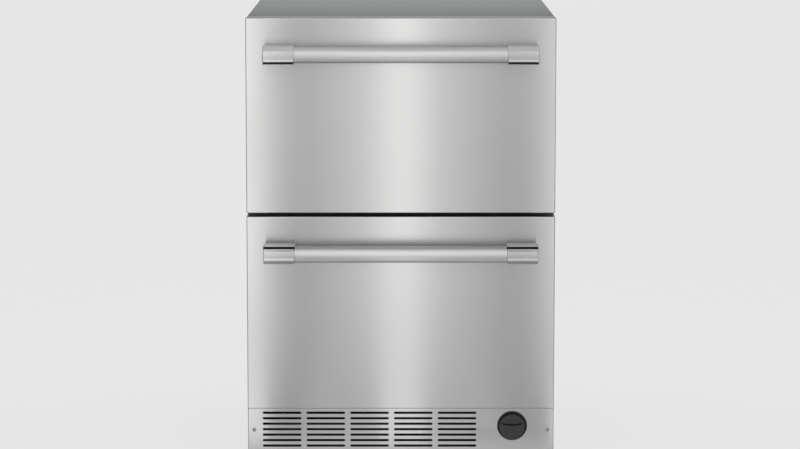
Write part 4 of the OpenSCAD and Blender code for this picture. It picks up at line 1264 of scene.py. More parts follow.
@dataclass
class DrawerFront:
    """A drawer front: a folded stainless skin over foam, an inner liner and a magnetic gasket.

    Attributes:
        side: The drawer that it closes.
        bend: The outer radius of the skin's bends.
        low_bend: The share of it that the lower front's bottom bend is drawn in by.
        corner: The corner radius of the skin.
        sheet: The thickness of the skin.
        flat_edge: A narrow flat strip beside each bend.
        steps: The number of pieces in each quarter round.
        plate: The thickness of the liner's plate.
        plate_edge: The rounding of its back edge.
        plate_groove: Where the gasket's groove starts and ends, and its depth.
        liner_sheet: The thickness of the compartment's liner.
        plug_gap: The gap between the plug and that liner.
        plug_corner: The corner radius of the plug.
        plug_foot: The radius between the plate and the plug.
        plug_draft: How far the plug's walls lean in.
        plug_brow: The radius between the walls and the plug's face.
        dish: Where the dish in that face starts, its radius and how flat it runs out.
        flats: Narrow flat strips before the foot, after the brow, and before and after the dish.
        gasket_width: The width of the gasket.
        gasket_root: Half of its root, as places across it and over its lowest point.
        gasket_fold: Half of its bellows, as places across it and under its highest point.
    """

    side: Side
    bend: float = 1.5 * MM
    low_bend: float = 0.15
    corner: float = 1.2 * MM
    sheet: float = 1.0 * MM
    flat_edge: float = 0.4 * MM
    steps: int = 6
    plate: float = 5.0 * MM
    plate_edge: float = 0.8 * MM
    plate_groove: tuple[float, float, float] = (1.8 * MM, 15.2 * MM, 3.0 * MM)
    liner_sheet: float = 2.0 * MM
    plug_gap: float = 6.0 * MM
    plug_corner: float = 14.0 * MM
    plug_foot: float = 4.0 * MM
    plug_draft: float = 1.5 * MM
    plug_brow: float = 5.0 * MM
    dish: tuple[float, float, float] = (30.0 * MM, 3.0 * MM, 0.3)
    flats: tuple[float, float, float, float] = (2.0 * MM, 1.5 * MM, 1.0 * MM, 3.0 * MM)
    gasket_width: float = 13.0 * MM
    gasket_root: tuple[tuple[float, float], ...] = ((0.0, 0.0), (0.0, 2.7 * MM), (1.3 * MM, 3.1 * MM))
    gasket_fold: tuple[tuple[float, float], ...] = (
        (2.4 * MM, 2.0 * MM), (1.7 * MM, 1.3 * MM), (2.1 * MM, 0.5 * MM), (3.4 * MM, 0.05 * MM),
        (6.5 * MM, 0.0),
    )

    def skin(self) -> Surface:
        """The skin: loops that go forward along the sides, round the bend and over the face, and back.

        On the bend a loop at angle t is drawn in by bend · (1 − cos t) and stands bend · (1 − sin t)
        behind the face. The lower front's bottom bend is drawn in by only a share of that.

        Returns:
            The closed surface.
        """
        span = Span.of(f"{self.side.value}_skin")
        face = span.low[1]
        turn = quarter(0, 90, self.steps)
        inner = self.bend - self.sheet
        rows = [(0.0, span.high[1])]
        rows += [(self.bend * (1 - math.cos(t)), face + self.bend * (1 - math.sin(t))) for t in turn]
        rows += [(self.bend + self.flat_edge, face)]
        back = [(self.sheet, span.high[1])]
        back += [(self.sheet + inner * (1 - math.cos(t)), face + self.sheet + inner * (1 - math.sin(t)))
                 for t in turn]
        flatter = 1 - self.low_bend if self.side is Side.LOWER else 0.0
        rings = [front_ring(span.low, span.high, inset, depth, self.corner, flatter * min(inset, self.bend))
                 for inset, depth in rows[::-1]]
        rings += [front_ring(span.low, span.high, inset, depth, self.corner) for inset, depth in back]
        return lattice(np.stack(rings), cap_first=True, cap_last=True)

    def plate_rings(self, span: Span) -> list[np.ndarray]:
        """The loops of the liner's plate, from its front over its edge and through the gasket's groove.

        Args:
            span: The box of the liner.

        Returns:
            The loops.
        """
        top, edge = span.low[1] + self.plate, self.plate_edge
        start, end, depth = self.plate_groove
        rows = [(0.0, span.low[1]), (0.0, top - edge), (0.25 * edge, top - 0.3 * edge), (edge, top),
                (start, top), (start, top - depth), (end, top - depth), (end, top), (end + 1 * MM, top)]
        return [front_ring(span.low, span.high, inset, place, 1.0 * MM) for inset, place in rows]

    def plug_rings(self, span: Span) -> list[np.ndarray]:
        """The loops of the plug: a hollow round foot, a round brow and a shallow dish with soft edges.

        Each round stretch is a quarter circle, r · sin t against r · cos t; the dish's inner one is
        flattened.

        Args:
            span: The box of the liner.

        Returns:
            The loops.
        """
        compartment = Span.of(f"{self.side.value}_liner")
        low = compartment.low + (self.liner_sheet + self.plug_gap)
        high = compartment.high - (self.liner_sheet + self.plug_gap)
        plate, back = span.low[1] + self.plate, span.high[1]
        foot, brow, draft = self.plug_foot, self.plug_brow, self.plug_draft
        start, soft, flatness = self.dish
        turn = quarter(0, 90, 5)
        rows = [(-foot - self.flats[0], plate)]
        rows += [(-foot * (1 - math.sin(t)), plate + foot * (1 - math.cos(t))) for t in turn]
        rows += [(draft + brow * (1 - math.cos(t)), back - brow * (1 - math.sin(t))) for t in turn]
        rows += [(draft + brow + self.flats[1], back), (start - soft - self.flats[2], back)]
        rows += [(start - soft * math.cos(t), back - soft * (1 - math.sin(t))) for t in turn[::-1]]
        rows += [(start + soft * math.sin(t), back - soft - flatness * soft * (1 - math.cos(t)))
                 for t in turn]
        rows += [(start + soft + self.flats[3], back - soft - flatness * soft)]
        return [front_ring(low, high, inset, place, self.plug_corner) for inset, place in rows]

    def liner(self) -> Surface:
        """The moulded liner: its plate and its plug as one form.

        Returns:
            The closed surface.
        """
        span = Span.of(f"{self.side.value}_inner_liner")
        rings = self.plate_rings(span) + self.plug_rings(span)
        return lattice(np.stack(rings), cap_first=True, cap_last=True)

    def gasket(self) -> Surface:
        """The gasket: a closed section with a root and a folded bellows, carried round the front.

        Returns:
            The closed surface.
        """
        span = Span.of(f"{self.side.value}_gasket")
        root, face = span.low[1], span.high[1]
        half = np.array([(across, root + rise) for across, rise in self.gasket_root]
                        + [(across, face - drop) for across, drop in self.gasket_fold])
        other = half[-2::-1] * np.array([-1.0, 1.0]) + np.array([self.gasket_width, 0.0])
        section = softened(np.concatenate([half, other]), 0.4 * MM, 3)
        rings = [front_ring(span.low, span.high, inset, depth, 0.5 * MM) for inset, depth in section]
        return lattice(np.stack(rings), wrap_rows=True)

    def build(self) -> None:
        """Makes the skin, the liner, the gasket and the handle, and dresses the foam."""
        name = self.side.value
        body = f"{name}_drawer"
        bellows_angle = 40.0
        add_piece(f"{name}_front_skin", [self.skin()], PANEL_STEEL, body, [f"{name}_skin"])
        dress(FOAM, f"{name}_core")
        add_piece(f"{name}_front_liner", [self.liner()], LINER_WHITE, body,
                  [f"{name}_inner_liner"])
        add_piece(f"{name}_seal", [self.gasket()], GASKET_VINYL, body, [f"{name}_gasket"],
                  bellows_angle)
        BarHandle(self.side, 1 if self.side is Side.UPPER else -1).build(body)


@dataclass
class Tub:
    """An open moulded box with drafted walls, a round base and a rim.

    Attributes:
        node: The node that it stands for.
        rim_out: How far the rim stands out of the walls at the low and the high end of X, and of Y.
        rim: The thickness of the rim.
        rim_edge: The radius of the rim's upper edges.
        wall: The thickness of the walls.
        draft: How much the base is drawn in.
        base_round: The radius between the base and the walls.
        corner: The radius of the upright corners.
        rib_inset: How far the ribs stay behind the ends of the box.
        rib: Half the width of a rib, and its height.
        rib_fade: The share of its length over which a rib rises.
    """

    node: str
    rim_out: tuple[float, float, float, float]
    rim: float = 3.0 * MM
    rim_edge: float = 1.2 * MM
    wall: float = 3.0 * MM
    draft: float = 4.0 * MM
    base_round: float = 9.0 * MM
    corner: float = 20.0 * MM
    rib_inset: float = 45.0 * MM
    rib: tuple[float, float] = (3.0 * MM, 1.4 * MM)
    rib_fade: float = 0.04

    def loop(self, low: np.ndarray, high: np.ndarray, inset: float, height: float) -> np.ndarray:
        """A round-cornered rectangle at a height, drawn in by the inset."""
        flat = rectangle_loop(low + inset, high - inset, max(self.corner - 0.6 * inset, 2 * MM), 8)
        return np.column_stack([flat, np.full(len(flat), height)])

    def surface(self) -> Surface:
        """Loops from under the base up the outside, over the rim and down the inside.

        Round edges are quarter circles: inset + r · (1 − cos t), height + r · (1 − sin t).

        Returns:
            The closed surface.
        """
        span = Span.of(self.node)
        x0, x1, y0, y1 = self.rim_out
        low, high = span.low[:2] + np.array([x0, y0]), span.high[:2] - np.array([x1, y1])
        bottom, top, under_rim = span.low[2], span.high[2], span.high[2] - self.rim
        base, inner, edge, flat = self.base_round, self.base_round - 2 * MM, self.rim_edge, 0.5 * MM
        turn, rim_turn = quarter(90, 0, 6), quarter(0, 90, 4)
        outside = [(self.draft + base + flat, bottom)]
        outside += [(self.draft + base * (1 - math.cos(t)), bottom + base * (1 - math.sin(t))) for t in turn]
        outside += [(0.3 * MM, under_rim - 2 * flat), (0.0, under_rim)]
        rim = [(0.0, under_rim)]
        rim += [(edge * (1 - math.cos(t)), top - edge * (1 - math.sin(t))) for t in rim_turn]
        inside = [(self.wall - edge * math.sin(t), top - edge * (1 - math.cos(t))) for t in rim_turn[::-1]]
        inside += [(self.wall + 0.1 * MM, top - edge - flat)]
        inside += [(self.draft + self.wall + inner * (1 - math.cos(t)),
                    bottom + self.wall + inner * (1 - math.sin(t))) for t in turn[::-1]]
        inside += [(self.draft + self.wall + inner + flat, bottom + self.wall)]
        rows = [self.loop(low, high, inset, height) for inset, height in outside]
        rows += [self.loop(span.low[:2], span.high[:2], inset, height) for inset, height in rim]
        rows += [self.loop(low, high, inset, height) for inset, height in inside]
        return lattice(np.stack(rows), cap_first=True, cap_last=True)

    def ribs(self, count: int) -> Surface:
        """Low round ribs on the floor, along Y: a half ellipse whose height fades at both ends.

        Args:
            count: The number of ribs.

        Returns:
            The closed surface.
        """
        span = Span.of(self.node)
        fade, (half_width, height) = self.rib_fade, self.rib
        along = np.concatenate([np.linspace(0, fade, 5), np.linspace(1 - fade, 1, 5)])
        y = span.low[1] + self.rib_inset + along * (span.size[1] - 2 * self.rib_inset)
        missing = np.maximum(1 - np.minimum(along, 1 - along) / fade, 0)
        size = np.sqrt(np.clip(1 - missing ** 2, 0.02, 1))
        turn = np.linspace(0, 2 * np.pi, 16, endpoint=False)
        points = np.stack([
            half_width * size[:, None] * np.cos(turn),
            np.broadcast_to(y[:, None], (len(y), len(turn))),
            span.low[2] + self.wall + height * size[:, None] * np.sin(turn),
        ], axis=-1)
        side = 1.6 * self.rib_inset
        places = np.linspace(span.low[0] + side, span.high[0] - side, count)
        offsets = np.column_stack([places, np.zeros((count, 2))])
        return repeated(lattice(points, cap_first=True, cap_last=True), offsets)


@dataclass
class Drawer:
    """A drawer behind its front: frame, bin, runners and middle members.

    Attributes:
        side: The drawer's place.
        bin_rim: How far the bin's rim stands out at the low and the high end of X, and of Y.
        bin_ribs: The number of ribs on the floor of the upper bin.
    """

    side: Side
    bin_rim: tuple[float, float, float, float] = (3.0 * MM, 3.0 * MM, 0.0, 4.0 * MM)
    bin_ribs: int = 9

    def build(self) -> None:
        """Dresses the drawer's steel and makes its bin."""
        name = self.side.value
        dress(GALVANISED, f"{name}_frame", f"{name}_runners", f"{name}_slide_members")
        bin_body = Tub(f"{name}_bin", self.bin_rim)
        surfaces = [bin_body.surface()]
        if self.side is Side.UPPER:
            surfaces.append(bin_body.ribs(self.bin_ribs))
        add_piece(f"{name}_food_bin", surfaces, BIN_PLASTIC, f"{name}_drawer",
                  [f"{name}_bin"])


# ---------- base grille ----------


@dataclass
class BaseGrille:
    """The slotted stainless grille with its screws, a dark baffle of painted shade behind it, and the
    filter's round cap.

    Attributes:
        rim: The thickness of the cap's base, and the rounding of its edge.
        knob_drop: How far the middle of the raised knob lies below the middle of the cap.
        knob_radius: The radius of the knob.
        knob_edge: The radius of its front edge.
        pull: Half the width, half the height, the rise of the ends and the depth of the finger pull.
        pull_lift: How far the middle of the pull lies over the middle of the cap.
        pull_lean: How far the face above the pull leans in.
        steps: The number of pieces round the cap.
        shank: The radius of a screw's shank.
        shade_baffle_foot: The height of the lower edge of the painted-shade baffle.
        shade_baffle_sheet: Its thickness.
        shade_baffle_lip: The depth of its folded upper edge.
        bulb: The radius of the rubber bulb on the lower edge.
        bulb_slot: How deep the edge sits in the bulb.
    """

    rim: tuple[float, float] = (1.0 * MM, 0.4 * MM)
    knob_drop: float = 2.3 * MM
    knob_radius: float = 25.7 * MM
    knob_edge: float = 1.8 * MM
    pull: tuple[float, float, float, float] = (20.5 * MM, 1.8 * MM, 2.6 * MM, 9.0 * MM)
    pull_lift: float = 2.4 * MM
    pull_lean: float = 1.6 * MM
    steps: int = 96
    shank: float = 2.0 * MM
    shade_baffle_foot: float = 10.0 * MM
    shade_baffle_sheet: float = 1.2 * MM
    shade_baffle_lip: float = 9.0 * MM
    bulb: float = 2.6 * MM
    bulb_slot: float = 1.2 * MM

    def cap(self) -> Surface:
        """The cap: a round base, an off-centre knob on it, and a curved finger pull in the knob's face.

        The pull's outline is (a |cos t|^0.5, b |sin t|^0.7), each with its sign, and its height is raised
        by rise · (x / a)². The face above the pull leans in towards it by lean · |sin t|^0.5.

        Returns:
            The closed surface.
        """
        span = Span.of("filter_cap")
        radius, thick = span.size[0] / 2, span.size[1]
        circle = np.ones(self.steps)
        turn = np.linspace(0, 2 * np.pi, self.steps, endpoint=False)
        half_width, half_height, rise, depth = self.pull
        x = half_width * np.sign(np.cos(turn)) * np.abs(np.cos(turn)) ** 0.5
        z = half_height * np.sign(np.sin(turn)) * np.abs(np.sin(turn)) ** 0.7
        lift = self.pull_lift + rise * (x / half_width) ** 2
        base, edge = thick - self.rim[0], self.rim[1]
        rows = [(radius, thick, 0.0), (radius, base + edge, 0.0), (radius - edge, base, 0.0),
                (self.knob_radius, base, self.knob_drop), (self.knob_radius, self.knob_edge, self.knob_drop)]
        rows += [(self.knob_radius - self.knob_edge * (1 - math.cos(t)), self.knob_edge * (1 - math.sin(t)),
                  self.knob_drop) for t in quarter(0, 90, 5)[1:]]
        rows += [(self.knob_radius - self.knob_edge - edge, 0.0, self.knob_drop)]
        loops = [(polar_loop(circle * size, (0.0, -drop)), circle * place) for size, place, drop in rows]
        lean = self.pull_lean * np.clip(np.sin(turn), 0, 1) ** 0.5
        for across, up, inward in ((1.0, 1.0, lean), (0.985, 0.86, lean + edge), (0.97, 0.8, circle * depth)):
            loops.append((np.column_stack([across * x, up * z + lift]), inward))
        points = np.stack([np.column_stack([loop[:, 0], inward, loop[:, 1]]) for loop, inward in loops])
        place = np.array([span.middle[0], span.low[1], span.middle[2]])
        return lattice(points + place, cap_first=True, cap_last=True)

    def screws(self) -> list[Surface]:
        """The two pan-head screws of the grille, with their shanks.

        Returns:
            Their heads and shanks.
        """
        span = Span.of("grille_screws")
        radius = span.size[2] / 2
        right = np.array([span.high[0] - radius, Span.of("toe_grille").low[1], span.middle[2]])
        head = pan_head(right, radius, right[1] - span.low[1], -1.0)
        ring = polar_loop(np.full(24, self.shank))
        shank = facing_y([ring, ring], [0.0, span.high[1] - right[1]], right, 1.0)
        return [head, shank, head.flipped_x(), shank.flipped_x()]

    def shade_baffle(self) -> tuple[Surface, Surface]:
        """Painted shade under the base pan: a dark folded strip, and a rubber bulb on its lower edge, hiding
        the bright floor behind the lowest slots.

        Returns:
            The strip and the bulb.
        """
        pan = Span.of("base_pan")
        sheet, foot = self.shade_baffle_sheet, self.shade_baffle_foot
        front = Span.of("toe_grille").high[1] + 0.5 * MM
        top = pan.low[2] - 0.2 * MM
        side = pan.high[0] - 2 * MM
        strip = np.array([[front, top], [front, foot], [front + sheet, foot], [front + sheet, top - sheet],
                          [front + self.shade_baffle_lip, top - sheet], [front + self.shade_baffle_lip, top]])
        middle = (front + sheet / 2, foot + self.bulb_slot - self.bulb)
        bulb = polar_loop(np.full(20, self.bulb), middle)
        return along_x(softened(strip, 0.5 * MM), -side, side), along_x(bulb, -side, side)

    def build(self) -> None:
        """Makes the cap, the screws and the painted-shade baffle, and dresses the grille and the filter."""
        dress(PANEL_STEEL, "toe_grille")
        # The baffle is painted shade: a dark sheet behind the lowest slots, where the floor under the unit
        # would lie in shade.
        strip, bulb = self.shade_baffle()
        add_piece("floor_shade_baffle", [strip], DARK_PAINT_AND_SHADE, "cabinet")
        add_piece("shade_baffle_seal", [bulb], BLACK_RUBBER, "cabinet")
        add_piece("grille_screw_pair", self.screws(), SCREW_STEEL, "cabinet",
                  ["grille_screws"])
        add_piece("filter_knob_cap", [self.cap()], CAP_PLASTIC, "filter_knob",
                  ["filter_cap"])
        dress(FILTER_PLASTIC, "filter_cartridge")
        # Partly painted shade: the filter housing is black so that what shows through the slots stays dark.
        dress(BLACK_PLASTIC, "filter_housing")


# ---------- cabinet, cooling, ice maker and legs ----------


@dataclass
class Cabinet:
    """The cabinet and everything fixed in it: a folded wrap, a front flange and an embossed back.

    Attributes:
        sheet: The thickness of the sheet steel.
        corner: The bend radius at the two long upper edges.
        opening_corner: The corner radius of the opening.
        flange_below: How far the flange goes on below the opening.
        liner_sheet: The thickness of the liners.
        flat_edge: A narrow flat strip beside each bend.
        beads: The places of the beads on the back, as shares of half its width.
        bead_half: Half the width of a bead.
        bead_end: How far a bead stops short of the panel's upper and lower edge.
        bead_fade: The length over which its ends rise.
        screw: The radius and the height of a screw's head.
        screw_inset: How far the screws stand in from the back's edges.
        screw_foot: The height of the lowest ones over the panel's lower edge.
        screws_upright: The number of screws along each side.
        screws_across: The places of those along the top, as shares of half its width.
    """

    sheet: float = 1.2 * MM
    corner: float = 3.0 * MM
    opening_corner: float = 14.0 * MM
    flange_below: float = 38.0 * MM
    liner_sheet: float = 2.0 * MM
    flat_edge: float = 0.4 * MM
    beads: tuple[float, ...] = (-0.7, -0.35, 0.0, 0.35, 0.7)
    bead_half: float = 9.0 * MM
    bead_end: float = 60.0 * MM
    bead_fade: float = 14.0 * MM
    screw: tuple[float, float] = (4.2 * MM, 2.4 * MM)
    screw_inset: float = 9.0 * MM
    screw_foot: float = 25.0 * MM
    screws_upright: int = 6
    screws_across: tuple[float, ...] = (-0.5, 0.0, 0.5)

    def arch(self, low: np.ndarray, high: np.ndarray, inset: float) -> np.ndarray:
        """Two sides and a top with round corners.

        Args:
            low: The lowest corner of the cabinet's box.
            high: The highest corner of the box.
            inset: How far the line stands in from the box.

        Returns:
            A line of points × 2, from low right to low left.
        """
        right, left, top = high[0] - inset, low[0] + inset, high[2] - inset
        radius = max(self.corner - inset, LEAST_RADIUS)
        turn = quarter(0, 90, 6)
        first = np.stack([right - radius * (1 - np.cos(turn)), top - radius * (1 - np.sin(turn))], axis=1)
        second = (first * np.array([-1.0, 1.0]) + np.array([left + right, 0.0]))[::-1]
        flat = self.flat_edge
        return np.concatenate([[[right, low[2]], [right, top - radius - flat]], first,
                               [[right - radius - flat, top], [left + radius + flat, top]], second,
                               [[left, top - radius - flat], [left, low[2]]]])

    def wrap(self, span: Span) -> Surface:
        """The sides and the top: the arch outside and inside, carried along Y, with a round front edge.

        Args:
            span: The cabinet's box.

        Returns:
            The closed surface.
        """
        inside = self.arch(span.low, span.high, self.sheet)[::-1]
        rows = [(self.sheet * (1 - math.cos(t)), span.low[1] + self.sheet * (1 - math.sin(t)))
                for t in quarter(90, 0, 5)]
        rows += [(0.0, span.low[1] + self.sheet + self.flat_edge), (0.0, span.high[1])]
        loops = [np.concatenate([self.arch(span.low, span.high, inset), inside]) for inset, _ in rows]
        points = np.stack([np.column_stack([loop[:, 0], np.full(len(loop), y), loop[:, 1]])
                           for loop, (_, y) in zip(loops, rows)])
        return lattice(points, cap_last=True)

    def flange(self, span: Span) -> Surface:
        """The ring round the opening: loops from its outer edge to the round-cornered opening and back.

        Args:
            span: The cabinet's box.

        Returns:
            The closed surface.
        """
        upper, lower = Span.of("upper_liner"), Span.of("lower_liner")
        low = span.low + np.array([self.sheet, 0.0, 0.0])
        high = span.high - np.array([self.sheet, 0.0, self.sheet])
        low[2] = lower.low[2] - self.flange_below
        hole_low = lower.low + self.liner_sheet
        hole_high = upper.high - self.liner_sheet
        front, back, edge = span.low[1], span.low[1] + self.sheet, 0.5 * MM
        rings = [front_ring(low, high, 0.0, front, LEAST_RADIUS)]
        rings += [front_ring(hole_low, hole_high, -edge - self.flat_edge, front, self.opening_corner)]
        rings += [front_ring(hole_low, hole_high, -edge * math.cos(t), front + edge * (1 - math.sin(t)),
                             self.opening_corner) for t in quarter(90, 0, 3)]
        rings += [front_ring(hole_low, hole_high, 0.0, back, self.opening_corner),
                  front_ring(low, high, 0.0, back, LEAST_RADIUS)]
        return lattice(np.stack(rings), wrap_rows=True)

    def back(self) -> Surface:
        """The back panel: a plate whose outer face rises in upright beads.

        A bead's height is H · cos²(π d / 2 w) across, for a distance d under the half width w, and it
        fades in the same way over its last part at both ends.

        Returns:
            The closed surface.
        """
        span = Span.of("back_panel")
        face = span.low[1] + self.sheet
        height = span.high[1] - face
        centres = np.array(self.beads) * span.high[0]
        across = np.linspace(-1, 1, 13) * self.bead_half
        x = np.concatenate([[span.low[0]], (centres[:, None] + across).ravel(), [span.high[0]]])
        fade = np.linspace(0, 1, 9) * self.bead_fade
        start, end = span.low[2] + self.bead_end, span.high[2] - self.bead_end
        z = np.concatenate([[span.low[2]], start + fade, end - fade[::-1], [span.high[2]]])
        distance = np.min(np.abs(x[:, None] - centres), axis=1)
        wave = np.where(distance < self.bead_half, np.cos(np.pi * distance / 2 / self.bead_half) ** 2, 0.0)
        near = np.clip(np.minimum(z - start, end - z) / self.bead_fade, 0, 1)
        rise = height * np.sin(np.pi / 2 * near) ** 2
        grid_x, grid_z = np.meshgrid(x, z)
        outer = np.stack([grid_x, face + rise[:, None] * wave[None, :], grid_z], axis=-1)
        inner = np.stack([grid_x, np.full_like(grid_x, span.low[1]), grid_z], axis=-1)
        return slab(outer, inner)

    def back_screws(self) -> list[Surface]:
        """Pan-head screws along the sides and the top of the back panel.

        Returns:
            The heads.
        """
        span = Span.of("back_panel")
        face = span.low[1] + self.sheet
        right, top = span.high[0] - self.screw_inset, span.high[2] - self.screw_inset
        heights = np.linspace(span.low[2] + self.screw_foot, top, self.screws_upright)
        places = [(side * right, z) for side in (-1, 1) for z in heights]
        places += [(share * span.high[0], top) for share in self.screws_across]
        return [pan_head((x, face, z), *self.screw, 1.0, 32) for x, z in places]

    def build(self) -> None:
        """Makes the sheet metal and dresses the cabinet's other nodes."""
        shell = Span.of("cabinet_shell")
        add_piece("cabinet_wrap", [self.wrap(shell), self.flange(shell)], GREY_PAINT, "cabinet",
                  ["cabinet_shell"])
        add_piece("back_sheet", [self.back()], GALVANISED, "cabinet", ["back_panel"])
        add_piece("back_screws", self.back_screws(), BRIGHT_ZINC, "cabinet")
        dress(GALVANISED, "rear_cover", "deck_panel", "slide_rails")
        # Partly painted shade: the base pan, mullion and electrical box are dark so that the slots and the
        # gap between the fronts read as shade.
        dress(DARK_PAINT_AND_SHADE, "base_pan", "mullion", "electrical_box")
        dress(FOAM, "insulation_foam")
        dress(LINER_WHITE, "upper_liner", "lower_liner", "evaporator_cover", "ice_maker_housing")
        dress(BLACK_PLASTIC, "control_panel", "drain_pan", "power_inlet")
        dress(LENS, "light_lenses")
        dress(VALVE_PLASTIC, "water_valve")


@dataclass
class Cooling:
    """The cooling circuit."""

    def build(self) -> None:
        """Dresses the cooling circuit's nodes."""
        dress(DARK_PAINT_AND_SHADE, "compressor")
        dress(BLACK_RUBBER, "compressor_grommets")
        dress(THIN_FINS, "evaporator", "condenser")
        dress(BLADE_PLASTIC, "condenser_fan_shroud", "condenser_fan_blades", "evaporator_fan_motor",
              "evaporator_fan_blades")
        dress(COPPER, "refrigerant_lines")


@dataclass
class IceMaker:
    """The ice maker and its tub.

    Attributes:
        tub_rim: The thickness of the tub's rim.
        tub_corner: The radius of its upright corners.
    """

    tub_rim: float = 6.0 * MM
    tub_corner: float = 17.0 * MM

    def build(self) -> None:
        """Dresses the ice maker's nodes and makes the tub."""
        dress(CAST_ALUMINIUM, "ice_mould")
        dress(BLADE_PLASTIC, "ice_ejector")
        dress(BRIGHT_ZINC, "ice_arm")
        tub = Tub("ice_tub", (0.0, 0.0, 0.0, 0.0), rim=self.tub_rim, corner=self.tub_corner)
        add_piece("ice_bin", [tub.surface()], TUB_PLASTIC, "lower_drawer", ["ice_tub"])


@dataclass
class Legs:
    """The four levelling legs: a round foot, a hexagon for the spanner and a threaded stem.

    The thread is a helix: the radius at angle t and height h is R − D · |2 f − 1|, where f is the
    fraction of h / pitch − t / 2π.

    Attributes:
        rim_height: The height of the foot's rim.
        rim_edges: How far the foot's lower and upper edges are rounded.
        shoulder: How far in, and how high, the hollow shoulder starts.
        neck_out: How far the neck stands out of the hexagon's flats.
        foot_height: The height of the foot.
        hexagon_height: The height of the hexagon.
        hexagon_width: The width over its flats.
        stem_radius: The outer radius of the thread.
        pitch: The height of one turn.
        thread_depth: How deep the thread is cut.
    """

    rim_height: float = 3.6 * MM
    rim_edges: tuple[float, float] = (1.4 * MM, 1.4 * MM)
    shoulder: tuple[float, float] = (2.2 * MM, 5.4 * MM)
    neck_out: float = 1.4 * MM
    foot_height: float = 9.0 * MM
    hexagon_height: float = 6.0 * MM
    hexagon_width: float = 13.8 * MM
    stem_radius: float = 4.95 * MM
    pitch: float = 1.75 * MM
    thread_depth: float = 0.8 * MM

    def foot(self, origin: np.ndarray, radius: float) -> Surface:
        """The foot: a rounded rim, a hollowed shoulder and a neck, turned round Z.

        Args:
            origin: The middle of its underside.
            radius: Its radius.

        Returns:
            The closed surface.
        """
        neck = self.hexagon_width / 2 + self.neck_out
        low_edge, high_edge = self.rim_edges
        inset, start = self.shoulder
        turn = quarter(0, 90, 6)
        hollow = np.stack([radius - inset - (radius - inset - neck) * np.sin(turn),
                           start + (self.foot_height - start) * (1 - np.cos(turn))], axis=1)
        rim = [[0.0, 0.0], [radius - low_edge, 0.0], [radius - 0.4 * MM, 0.4 * MM], [radius, low_edge],
               [radius, self.rim_height], [radius - 0.5 * MM, self.rim_height + 1.2 * MM],
               [radius - high_edge, start - 0.1 * MM]]
        return revolved(np.concatenate([rim, hollow, [[0.0, self.foot_height]]]), origin)

    def hexagon(self, origin: np.ndarray) -> Surface:
        """The hexagon, with its upper corners turned off.

        Args:
            origin: The middle of the leg's underside.

        Returns:
            The closed surface.
        """
        steps = 72
        corners = hexagon_radius(self.hexagon_width, steps)
        top = self.foot_height + self.hexagon_height
        turned = np.minimum(corners, self.hexagon_width / 2 + 0.1 * MM)
        rows = [(corners, self.foot_height - 0.5 * MM), (corners, top - 0.7 * MM), (turned, top)]
        points = np.stack([np.column_stack([polar_loop(radius), np.full(steps, height)])
                           for radius, height in rows])
        return lattice(points + origin, cap_first=True, cap_last=True)

    def stem(self, origin: np.ndarray, height: float) -> Surface:
        """The threaded stem.

        Args:
            origin: The middle of the leg's underside.
            height: The height of the leg.

        Returns:
            The closed surface.
        """
        columns, step = 24, self.pitch / 6
        rise = np.arange(self.foot_height, height + step / 2, step)
        rise[-1] = height
        turn = np.linspace(0, 2 * np.pi, columns, endpoint=False)
        phase = (rise[:, None] / self.pitch - turn[None, :] / (2 * np.pi)) % 1.0
        radius = self.stem_radius - self.thread_depth * np.abs(2 * phase - 1)
        points = np.stack([radius * np.cos(turn), radius * np.sin(turn),
                           np.broadcast_to(rise[:, None], radius.shape)], axis=-1)
        return lattice(points + origin, cap_first=True, cap_last=True)

    def build(self) -> None:
        """Makes the four legs."""
        for corner in ("front_left", "front_right", "rear_left", "rear_right"):
            span = Span.of(f"{corner}_leg")
            origin = np.array([span.middle[0], span.middle[1], span.low[2]])
            surfaces = [self.foot(origin, span.size[0] / 2), self.hexagon(origin),
                        self.stem(origin, span.size[2])]
            add_piece(f"{corner}_levelling_leg", surfaces, BLACK_PLASTIC, f"{corner}_foot",
                      [f"{corner}_leg"])


# ---------- studio ----------


@dataclass(frozen=True)
class Strip:
    """A tall, narrow lamp in front of the unit that goes on along the floor, seen only in reflections.

    Attributes:
        x: Where its reflection lies on the drawer fronts, along X.
        width: The width of the reflection.
        level: The brightness of the lamp.
    """

    x: float
    width: float
    level: float


